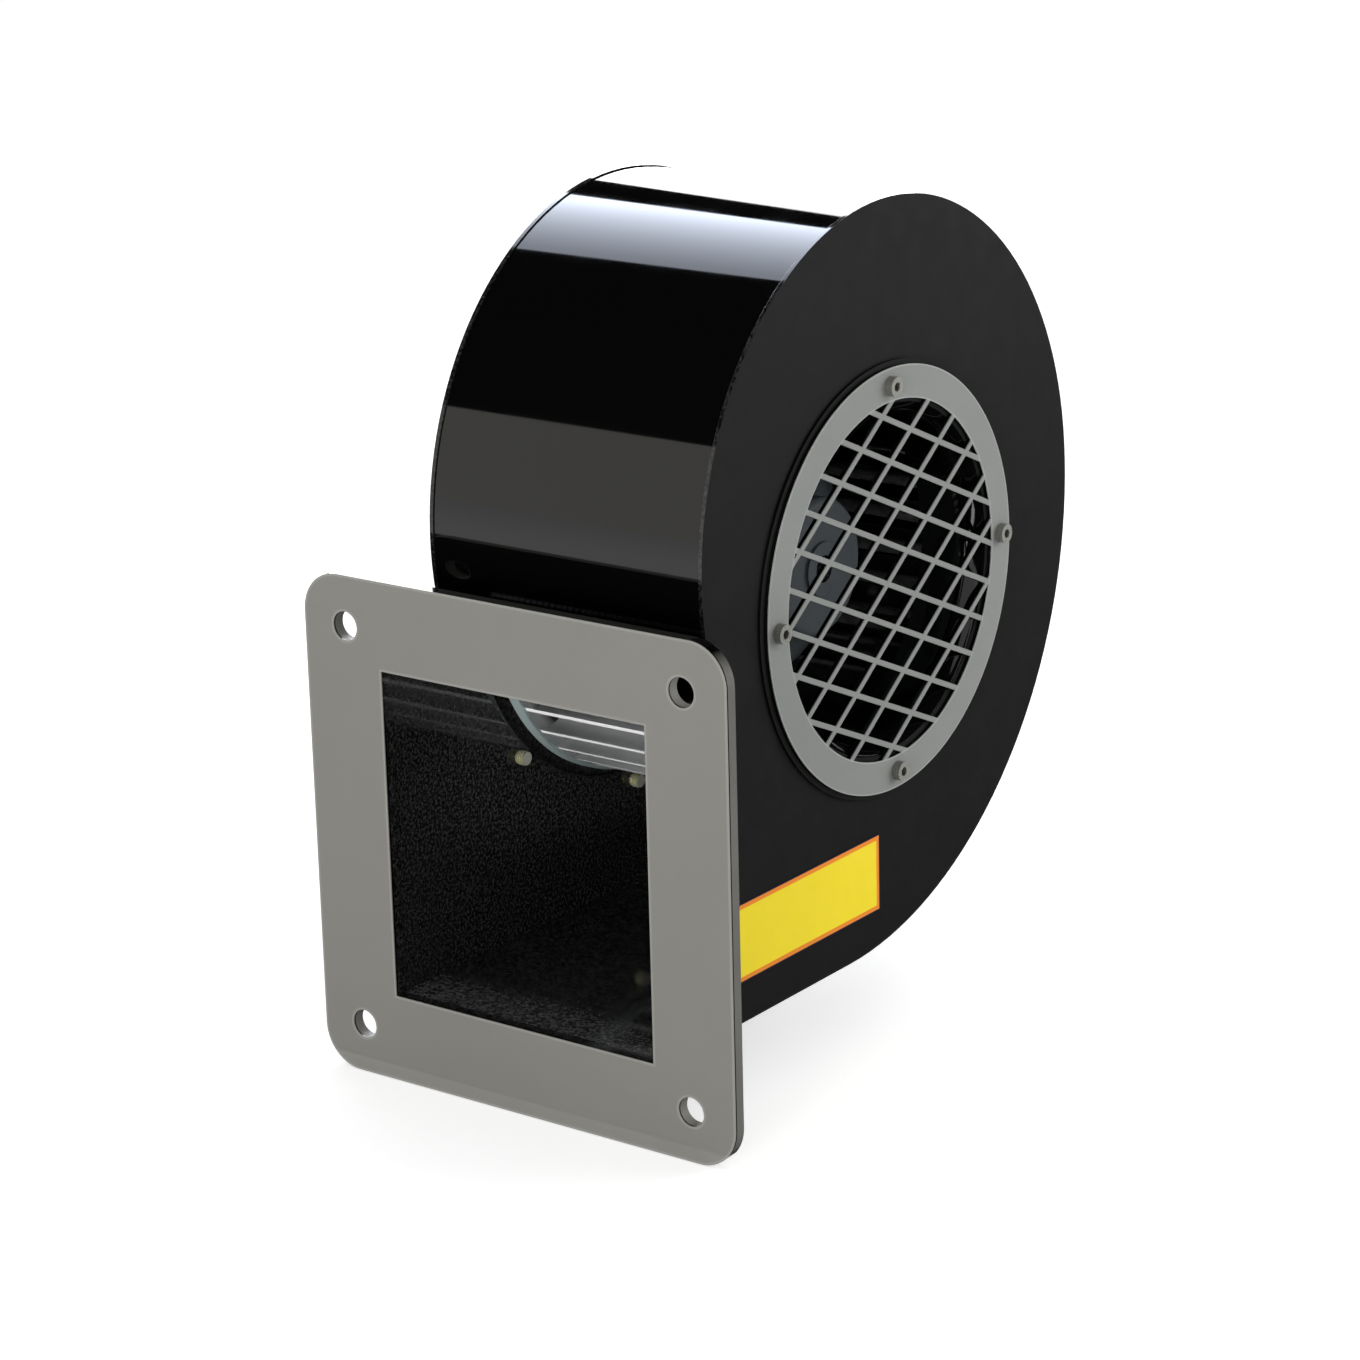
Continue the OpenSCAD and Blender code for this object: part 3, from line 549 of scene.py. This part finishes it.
def label_film():
    """Printed film, left bare: a yellow field, a border and a thin line, by distance from the label's edges."""
    low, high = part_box("rating_label")
    finish = Finish("label_film", paints().label, 0.38, specular=0.45)

    def from_side(axis, start, end):
        off = finish.maths("ABSOLUTE", finish.maths("SUBTRACT", finish.along(axis), (end + start) / 2))
        return finish.maths("SUBTRACT", (end - start) / 2, off)

    inset = finish.maths("MINIMUM", from_side("Y", low.y, high.y), from_side("Z", low.z, high.z))
    soft = 0.06 * MM
    finish.shade(finish.spread(finish.noise(20 * MM, 3.0), 0.4, 0.7, 0, 0.2), (0.86, 0.69, 0.025))
    border = sizes().label_line + sizes().label_border
    finish.shade(finish.spread(inset, border + soft, border - soft), paints().label_border)
    line = sizes().label_line
    finish.shade(finish.spread(inset, line + soft, line - soft), paints().label_line)
    finish.vary_roughness(finish.noise(6 * MM, 3.0), 0.32, 0.46)
    finish.raise_surface(finish.noise(8 * MM, 2.0), 0.05 * MM, 0.35)
    return finish


class FinishOutletFlange(bpy.types.Operator):
    """Powder coats the outlet flange"""

    bl_idname = "blower.finish_outlet_flange"
    bl_label = "Outlet flange"

    def execute(self, context):
        def front(finish):
            return finish.spread(finish.along("Y"), 0.34 * MM, 0.3 * MM)

        size = sizes()
        side, _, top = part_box("outlet_flange")[1]
        bore = BOLTS["hole_r_mm"] * MM

        def quarter(finish):
            return [finish.maths("ABSOLUTE", finish.along(axis)) for axis in "XZ"]

        def from_bolt(finish):
            width, height = quarter(finish)
            return finish.reach(
                finish.maths("SUBTRACT", width, BOLTS["spacing_x_mm"] / 2 * MM),
                finish.maths("SUBTRACT", height, BOLTS["spacing_y_mm"] / 2 * MM),
            )

        def out_of_opening(finish):
            width, height = quarter(finish)
            return finish.maths(
                "MAXIMUM",
                finish.maths("SUBTRACT", width, size.opening_width / 2),
                finish.maths("SUBTRACT", height, size.opening_height / 2),
            )

        # Painted highlight along the outline of the flange's face, its bolt holes and its opening.
        def rim(finish):
            past = [
                finish.maths("MAXIMUM", finish.maths("SUBTRACT", far, end - size.flange_corner), 0.0)
                for far, end in zip(quarter(finish), (side, top))
            ]
            outline = finish.maths("SUBTRACT", size.flange_corner, finish.reach(*past))
            hole = finish.maths("SUBTRACT", from_bolt(finish), bore)
            inward = finish.maths("MINIMUM", outline, finish.maths("MINIMUM", hole, out_of_opening(finish)))
            return finish.spread(inward, size.rim, 0.6 * size.rim)

        # Painted light: the coat's grey on the flange's left and right edge walls and on the bolt holes' walls
        # stands in for light on them; the top and bottom edge walls stay gloss black.
        def lit_wall_share(finish):
            sides = finish.spread(quarter(finish)[0], side - 5 * MM, side - 0.5 * MM, 0, 0.6)
            holes = finish.spread(from_bolt(finish), bore + 0.3 * MM, bore + 0.2 * MM, 0, 0.85)
            behind = finish.spread(finish.along("Y"), 0.7 * MM, 0.9 * MM)
            return finish.maths("MULTIPLY", behind, finish.maths("MAXIMUM", sides, holes))

        def inside(finish):
            behind = finish.spread(finish.along("Y"), 1.0 * MM, 1.2 * MM)
            return finish.maths("MULTIPLY", behind, finish.spread(out_of_opening(finish), 0.1 * MM, 0.05 * MM))

        finish = coated_face("flange_paint", paints().flange, front, 0.9 * MM, rim, 1.3, lit_wall_share, inside)
        finish.put_on("outlet_flange")
        return {"FINISHED"}


class FinishScroll(bpy.types.Operator):
    """Paints the scroll's strip and the nozzle gloss black, and the nozzle's face satin"""

    bl_idname = "blower.finish_scroll"
    bl_label = "Scroll strip and nozzle"

    def execute(self, context):
        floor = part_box("scroll_wrap")[0].z

        def thin(finish):
            above = finish.spread(finish.along("Z"), floor + 0.4 * MM, floor + 0.6 * MM)
            below = finish.spread(finish.along("Z"), floor + 9 * MM, floor + 3 * MM)
            return finish.maths("MULTIPLY", above, below)

        gloss_paint("gloss_black", paints().scroll, thin, paints().floor).put_on("scroll_wrap")
        outer_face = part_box("inlet_nozzle")[1].x

        def front(finish):
            return finish.spread(finish.along("X"), outer_face - 0.14 * MM, outer_face - 0.1 * MM)

        # Painted highlight along the edges of the nozzle's face.
        def rim(finish):
            return finish.edge_share(0.5 * MM)

        coated_face("nozzle_paint", paints().side, front, 0.7 * MM, rim, 1.2).put_on("inlet_nozzle")
        return {"FINISHED"}


class FinishSidePlates(bpy.types.Operator):
    """Paints the two side plates and the motor plate satin black"""

    bl_idname = "blower.finish_side_plates"
    bl_label = "Side plates and motor plate"

    def execute(self, context):
        side_sheet("side_black", paints().side).put_on("inlet_side_plate", "motor_side_plate")
        cover = powder_coat("plate_black", paints().side, 0.5, 0.7 * MM)
        inner_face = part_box("motor_plate")[1].x
        # Painted light: the inner face gets the casing's grainy speckle, three times lighter than the satin
        # black, lightening the shaded gap round the wheel.
        inside = cover.spread(cover.along("X"), inner_face - 0.2 * MM, inner_face - 0.1 * MM)
        speckle(cover, inside, lighter(paints().side, 3))
        cover.put_on("motor_plate")
        return {"FINISHED"}


class FinishGuard(bpy.types.Operator):
    """Powder coats the inlet guard"""

    bl_idname = "blower.finish_guard"
    bl_label = "Inlet guard"

    def execute(self, context):
        low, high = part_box("inlet_guard")
        radius = (high.z - low.z) / 2
        width = sizes().rim

        def front(finish):
            return finish.spread(finish.along("X"), high.x - 0.34 * MM, high.x - 0.3 * MM)

        # Painted highlight along the guard ring's outer edge and its bore.
        def rim(finish):
            reach = finish.from_axis()
            outer = finish.spread(reach, radius - 0.6 * width, radius - 0.3 * width)
            inner = radius - sizes().guard_ring + 0.5 * width
            bore = finish.spread(reach, inner, inner - 0.2 * width)
            ring = finish.spread(reach, inner - 0.7 * width, inner - 0.5 * width)
            return finish.maths("MAXIMUM", outer, finish.maths("MULTIPLY", bore, ring))

        coated_face("guard_paint", paints().guard, front, 0.8 * MM, rim, 1.45).put_on("inlet_guard")
        return {"FINISHED"}


class FinishFasteners(bpy.types.Operator):
    """Plates the screws, nuts and rivets"""

    bl_idname = "blower.finish_fasteners"
    bl_label = "Screws, nuts and rivets"

    def execute(self, context):
        plain = plated_steel("zinc_steel", paints().zinc, 0.32)
        plain.put_on("guard_nuts", "motor_base_screws", "impeller_rivets")
        socket_steel("socket_zinc").put_on("guard_screws")
        tip_steel("tip_zinc").put_on("motor_plate_screws")
        return {"FINISHED"}


def new_piece(name, mesh_maker, material):
    """Makes a smooth piece from a bmesh filled by mesh_maker; it rides on the casing."""
    shape = bmesh.new()
    mesh_maker(shape)
    mesh = bpy.data.meshes.new(name)
    shape.to_mesh(mesh)
    shape.free()
    for face in mesh.polygons:
        face.use_smooth = True
    made = bpy.data.objects.new(name, mesh)
    bpy.context.scene.collection.objects.link(made)
    mesh.materials.append(material)
    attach(made, CASING)


def skin(shape, rings, closed_path=False):
    """Joins rings of points into a closed surface."""
    made = [[shape.verts.new(point) for point in ring] for ring in rings]
    count = len(made[0])
    for i in range(len(made) if closed_path else len(made) - 1):
        here, there = made[i], made[(i + 1) % len(made)]
        for j in range(count):
            k = (j + 1) % count
            shape.faces.new((here[j], here[k], there[k], there[j]))
    if not closed_path:
        shape.faces.new(list(reversed(made[0])))
        shape.faces.new(made[-1])


def screw_places(node):
    """Centres, in Y and Z, of the separate screws of a node."""
    mesh = bpy.data.objects[node].data
    shape = bmesh.new()
    shape.from_mesh(mesh)
    bmesh.ops.remove_doubles(shape, verts=shape.verts, dist=0.01 * MM)
    left = set(shape.verts)
    places = []
    while left:
        group = [left.pop()]
        for vert in group:
            for edge in vert.link_edges:
                other = edge.other_vert(vert)
                if other in left:
                    left.discard(other)
                    group.append(other)
        spans = [[v.co.y for v in group], [v.co.z for v in group]]
        places.append(tuple((min(span) + max(span)) / 2 for span in spans))
    shape.free()
    return sorted(places)


class CutThreads(bpy.types.Operator):
    """Cuts the threads that show on the tips of the motor plate's screws"""

    bl_idname = "blower.cut_threads"
    bl_label = "Screw threads"

    def execute(self, context):
        size = sizes()
        inside = -(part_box("scroll_wrap")[1].x)
        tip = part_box("motor_plate_screws")[1].x
        pitch = size.thread_pitch
        places = screw_places("motor_plate_screws")
        screws = 8
        if len(places) != screws:
            raise RuntimeError(f"{len(places)} screws found in place of {screws}")
        steps = 20
        profile = ((-0.45, -0.1), (-0.1, 1), (0.1, 1), (0.45, -0.1))

        def threads(shape):
            for y, z in places:
                rings = []
                turns = (tip - inside - pitch) / pitch
                for i in range(int(turns * steps) + 1):
                    turn = 2 * math.pi * i / steps
                    x = inside + pitch * (0.5 + i / steps)
                    fade = max(0.02, min(1, i / steps * 2, (turns * steps - i) / steps * 2))
                    ring = []
                    for along, out in profile:
                        r = size.thread_r + size.thread_depth * out * fade
                        ring.append((x + along * pitch, y + r * math.cos(turn), z + r * math.sin(turn)))
                    rings.append(ring)
                skin(shape, rings)

        material = tip_steel("thread_zinc").material
        new_piece("screw_tip_threads", threads, material)
        return {"FINISHED"}


class LayWeld(bpy.types.Operator):
    """Lays the weld bead that joins the duct to the back of the outlet flange"""

    bl_idname = "blower.lay_weld"
    bl_label = "Flange weld"

    def execute(self, context):
        size = sizes()
        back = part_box("outlet_flange")[1].y
        half_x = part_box("inlet_side_plate")[1].x
        half_z = -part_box("scroll_wrap")[0].z
        corner_steps = 5

        def bead(shape):
            corners = [(half_x, -half_z), (half_x, half_z), (-half_x, half_z), (-half_x, -half_z)]
            rings = []
            for n, (x0, z0) in enumerate(corners):
                x1, z1 = corners[(n + 1) % 4]
                length = math.hypot(x1 - x0, z1 - z0)
                out = Vector(((z1 - z0) / length, 0, -(x1 - x0) / length))
                before = Vector((z0 - corners[n - 1][1], 0, corners[n - 1][0] - x0)).normalized()
                for i in range(corner_steps):
                    way = before.lerp(out, i / corner_steps).normalized()
                    rings.append(self.ring(Vector((x0, back, z0)), way, size.weld, len(rings)))
                steps = int(length / (size.weld_ripple / 4))
                for i in range(steps):
                    at = Vector((x0 + (x1 - x0) * i / steps, back, z0 + (z1 - z0) * i / steps))
                    rings.append(self.ring(at, out, size.weld, len(rings)))
            skin(shape, rings, closed_path=True)

        finish = powder_coat("weld_black", paints().side, 0.42, 0.5 * MM)
        new_piece("flange_weld", bead, finish.material)
        return {"FINISHED"}

    def ring(self, at, out, radius, index):
        """One rippled section of the bead, in the corner between the duct's wall and the flange's back."""
        swell = radius * (1 + 0.09 * math.cos(math.pi * index / 2) + 0.05 * math.sin(index * 0.37))
        deep = Vector((0, 1, 0))
        points = [at - 0.1 * radius * (out + deep)]
        steps = 5
        for i in range(steps + 1):
            turn = math.pi / 2 * i / steps
            way = out * math.cos(turn) + deep * math.sin(turn)
            points.append(at + swell * way * (0.82 + 0.18 * abs(math.cos(2 * turn))))
        return points


class FinishLabel(bpy.types.Operator):
    """Prints the label's field, border and line, and leaves it bare"""

    bl_idname = "blower.finish_label"
    bl_label = "Label"

    def execute(self, context):
        label_film().put_on("rating_label")
        return {"FINISHED"}


class FinishWheel(bpy.types.Operator):
    """Gives the wheel its galvanised sheet"""

    bl_idname = "blower.finish_wheel"
    bl_label = "Wheel"

    def execute(self, context):
        # The blades get a lighter zinc than the disc and ring: painted light.
        galvanised_sheet("galvanised", paints().blades).put_on("impeller_blades")
        sheet = galvanised_sheet("galvanised_disc", paints().galvanised, paints().lip)
        sheet.put_on("impeller_disc", "impeller_ring")
        return {"FINISHED"}


class FinishMotor(bpy.types.Operator):
    """Finishes the rotor, the stator, the bearings and the motor's base"""

    bl_idname = "blower.finish_motor"
    bl_label = "Motor"

    def execute(self, context):
        paint = paints()
        powder_coat("can_paint", paint.rotor, 0.42, 0.8 * MM).put_on("rotor_can")
        cast_metal("cast_aluminium", paint.casting).put_on("motor_base")
        laminated_core("core_steel", paint.core).put_on("stator_core", "rotor_cage")
        wound_copper("copper_wire", paint.copper).put_on("stator_winding")
        ground_steel("bearing_steel", paint.bearing, 0.22).put_on(
            "bearing_outer_front", "bearing_outer_rear", "bearing_inner_front", "bearing_inner_rear",
            "preload_washer", "motor_shaft", "shaft_circlip",
        )
        moulded("black_rubber", paint.rubber, 0.7, 0.5 * MM).put_on("motor_plate_gasket", "cable_bush")
        moulded("black_plastic", paint.plastic, 0.45, 0.35 * MM).put_on("bearing_cap")
        return {"FINISHED"}


def empty_tree(owner):
    """Node tree of a material or world, emptied."""
    owner.use_nodes = True
    owner.node_tree.nodes.clear()
    return owner.node_tree.nodes, owner.node_tree.links


def glow(name, colour, strength):
    """Material of a reflector card: plain light of one colour."""
    material = bpy.data.materials.new(name)
    nodes, links = empty_tree(material)
    output = nodes.new("ShaderNodeOutputMaterial")
    light = nodes.new("ShaderNodeEmission")
    light.inputs["Color"].default_value = (*colour, 1.0)
    light.inputs["Strength"].default_value = strength
    links.new(light.outputs[0], output.inputs["Surface"])
    return material


def studio_sheet(name, points, faces, material):
    """A sheet of the studio, apart from the blower."""
    mesh = bpy.data.meshes.new(name)
    mesh.from_pydata(points, [], faces)
    mesh.materials.append(material)
    made = bpy.data.objects.new(name, mesh)
    bpy.context.scene.collection.objects.link(made)
    return made


def card(name, points, material, faces=None):
    """A studio card that only reflections see, flat where no faces are given."""
    made = studio_sheet(name, points, faces or [tuple(range(len(points)))], material)
    made.visible_camera = False
    made.visible_diffuse = False
    made.visible_shadow = False
    made.visible_transmission = False


def arch(name, centre, radius, start, end, half_width, material, steps=24):
    """A curved card about a line along X, from one turn to another."""
    points = []
    for i in range(steps + 1):
        turn = math.radians(start + (end - start) * i / steps)
        y = centre[0] + radius * math.cos(turn)
        z = centre[1] + radius * math.sin(turn)
        points += [(-half_width, y, z), (half_width, y, z)]
    card(name, points, material, [(2 * i, 2 * i + 1, 2 * i + 3, 2 * i + 2) for i in range(steps)])


class SetStudio(bpy.types.Operator):
    """Sets the floor, the lamps, the reflector cards, the white room and the camera"""

    bl_idname = "blower.set_studio"
    bl_label = "Studio"

    def execute(self, context):
        scene = context.scene
        studio = scene.blower_studio
        self.lay_floor(cad_box[0][2])
        self.light_room(scene, studio)
        self.hang_cards()
        self.hang_lamps(scene, studio)
        self.place_camera(scene, studio)
        scene.view_settings.view_transform = "Standard"
        return {"FINISHED"}

    def lay_floor(self, height):
        """A pale floor just below the blower, lifted towards white for the camera."""
        material = bpy.data.materials.new("pale_floor")
        nodes, links = empty_tree(material)
        output = nodes.new("ShaderNodeOutputMaterial")
        pale = nodes.new("ShaderNodeBsdfDiffuse")
        pale.inputs["Color"].default_value = (0.75, 0.75, 0.75, 1)
        white = nodes.new("ShaderNodeEmission")
        seen = self.seen_directly(nodes, links)
        lift = nodes.new("ShaderNodeMath")
        lift.operation = "MULTIPLY"
        lift.inputs[1].default_value = 0.6
        links.new(seen, lift.inputs[0])
        links.new(lift.outputs[0], white.inputs["Strength"])
        both = nodes.new("ShaderNodeAddShader")
        links.new(pale.outputs[0], both.inputs[0])
        links.new(white.outputs[0], both.inputs[1])
        links.new(both.outputs[0], output.inputs["Surface"])
        far = 30
        level = height - 0.2 * MM
        corners = [(-far, -far, level), (far, -far, level), (far, far, level), (-far, far, level)]
        studio_sheet("studio_floor", corners, [(0, 1, 2, 3)], material)

    def seen_directly(self, nodes, links):
        """1 for what the camera sees, also in a mirror or through glass."""
        rays = nodes.new("ShaderNodeLightPath")
        total = rays.outputs["Is Camera Ray"]
        for kind in ("Is Glossy Ray", "Is Transmission Ray"):
            either = nodes.new("ShaderNodeMath")
            either.operation = "MAXIMUM"
            links.new(total, either.inputs[0])
            links.new(rays.outputs[kind], either.inputs[1])
            total = either.outputs[0]
        return total

    def light_room(self, scene, studio):
        """Even light from all sides, white to the camera."""
        world = bpy.data.worlds.new("white_room")
        scene.world = world
        nodes, links = empty_tree(world)
        output = nodes.new("ShaderNodeOutputWorld")
        room = nodes.new("ShaderNodeBackground")
        strength = nodes.new("ShaderNodeMix")
        strength.inputs[2].default_value = studio.room
        strength.inputs[3].default_value = 1.0
        links.new(self.seen_directly(nodes, links), strength.inputs[0])
        links.new(strength.outputs[0], room.inputs["Strength"])
        links.new(room.outputs[0], output.inputs["Surface"])

    def hang_cards(self):
        """Black and white cards that the gloss black reflects. low is just above the floor, and strip is
        the height of a narrow card that lies on the lowest one."""
        dark = glow("card_black", (0.0, 0.0, 0.0), 0.0)
        arch("card_arch", (0.1, 0.075), 3.0, 18, 149.5, 7.0, dark)
        low = -0.07
        strip = low + 0.002
        card("card_low", [(-6, -0.457, low), (1.3, -0.457, low), (1.3, 1.3, low), (-6, 1.3, low)], dark)
        card("card_back", [(-1.41, 1.6, 0.78), (-1.18, 1.6, 1.4), (-1.0, 1.6, 1.9), (-0.5, 1.6, 1.9),
                           (-0.5, 1.6, low), (-4, 1.6, low), (-4, 1.6, 0.78)],
             glow("card_back_white", (1.0, 1.0, 1.0), 6.0))
        card("card_top", [(-3.2, 0.264, 1.3), (-0.35, 0.264, 1.3), (-0.35, 0.824, 1.3), (-3.2, 2.17, 1.3)],
             self.fading_glow("card_top_white", (0.77, 0.84, 0.98), 0.313, 3.7, 1.2, 10.8))
        card("card_front", [(-4, -2.45, low), (0.3, -2.45, low), (0.3, -2.45, 1.6), (-4, -2.45, 1.6)],
             glow("card_front_white", (1.0, 0.98, 0.91), 0.98))
        card("card_right", [(-0.3, 2.2, low), (7, 2.2, low), (7, 2.2, 1.6), (-0.3, 2.2, 1.6)], dark)
        card("card_strip", [(0.25, -0.5, strip), (0.31, -0.5, strip), (0.31, 0.1, strip), (0.25, 0.1, strip)],
             glow("card_strip_white", (1.0, 1.0, 1.0), 4.0))

    def fading_glow(self, name, colour, near, near_strength, far, far_strength):
        """Light whose strength changes evenly from Y near to Y far."""
        material = glow(name, colour, near_strength)
        nodes = material.node_tree.nodes
        place = nodes.new("ShaderNodeSeparateXYZ")
        fade = nodes.new("ShaderNodeMapRange")
        ends = {"From Min": near, "From Max": far, "To Min": near_strength, "To Max": far_strength}
        for key, value in ends.items():
            fade.inputs[key].default_value = value
        links = material.node_tree.links
        links.new(nodes.new("ShaderNodeTexCoord").outputs["Object"], place.inputs[0])
        links.new(place.outputs["Y"], fade.inputs["Value"])
        light = next(n for n in nodes if n.type == "EMISSION")
        links.new(fade.outputs[0], light.inputs["Strength"])
        return material

    def hang_lamps(self, scene, studio):
        """Three soft lamps on the blower's middle and a narrow one into its outlet."""
        centre = Vector((0.0, 0.106, 0.05))
        opening = Vector((0.0, 0.0, 0.004))
        for name, place, aim, size, power, tint in (
            ("lamp_top", (-0.5, 0.8, 1.3), centre, 1.2, studio.key, (0.97, 0.985, 1.0)),
            ("lamp_front", (0.35, -1.3, 0.16), centre, 0.4, studio.fill, (1.0, 0.99, 0.97)),
            ("lamp_side", (0.8, 0.9, 0.25), centre, 0.9, studio.side, (1.0, 1.0, 1.0)),
            ("lamp_outlet", (0.15, -0.7, -0.055), opening, 0.012, studio.outlet, (1.0, 0.99, 0.96)),
        ):
            spot = name == "lamp_outlet"
            light = bpy.data.lights.new(name, "SPOT" if spot else "AREA")
            if spot:
                light.spot_size = studio.outlet_cone
                light.spot_blend = 0.2
                light.shadow_soft_size = size / 2
            else:
                light.size = size
            light.energy = power
            light.color = tint
            lamp = bpy.data.objects.new(name, light)
            lamp.location = place
            lamp.rotation_euler = (aim - Vector(place)).to_track_quat("-Z", "Y").to_euler()
            lamp.visible_glossy = spot
            scene.collection.objects.link(lamp)

    def place_camera(self, scene, studio):
        data = bpy.data.cameras.new("camera")
        data.sensor_width = 36
        data.lens = studio.lens
        data.clip_end = 100
        camera = bpy.data.objects.new("camera", data)
        camera.location = studio.camera_place
        camera.rotation_euler = Euler(studio.camera_turn)
        scene.collection.objects.link(camera)
        scene.camera = camera


class BLOWER_PT_pieces(bpy.types.Panel):
    """Lists the blower's pieces and its studio"""

    bl_label = "Centrifugal blower"
    bl_idname = "BLOWER_PT_pieces"
    bl_space_type = "VIEW_3D"
    bl_region_type = "UI"
    bl_category = "Blower"

    def draw(self, context):
        for group in (context.scene.blower_paints, context.scene.blower_sizes, context.scene.blower_studio):
            box = self.layout.box()
            for name in group.__annotations__:
                box.prop(group, name)
        for operator in OPERATORS:
            self.layout.operator(operator.bl_idname)


GROUPS = (BlowerPaints, BlowerSizes, BlowerStudio)
OPERATORS = (
    FinishOutletFlange, FinishScroll, FinishSidePlates, FinishGuard, FinishFasteners, CutThreads, LayWeld,
    FinishLabel, FinishWheel, FinishMotor, SetStudio,
)


def register():
    for made in GROUPS + OPERATORS + (BLOWER_PT_pieces,):
        bpy.utils.register_class(made)
    bpy.types.Scene.blower_paints = bpy.props.PointerProperty(type=BlowerPaints)
    bpy.types.Scene.blower_sizes = bpy.props.PointerProperty(type=BlowerSizes)
    bpy.types.Scene.blower_studio = bpy.props.PointerProperty(type=BlowerStudio)


def unregister():
    del bpy.types.Scene.blower_studio
    del bpy.types.Scene.blower_sizes
    del bpy.types.Scene.blower_paints
    for made in reversed(GROUPS + OPERATORS + (BLOWER_PT_pieces,)):
        bpy.utils.unregister_class(made)


def main():
    register()
    for operator in OPERATORS:
        getattr(bpy.ops.blower, operator.bl_idname.split(".")[1])()


if __name__ == "__main__":
    main()
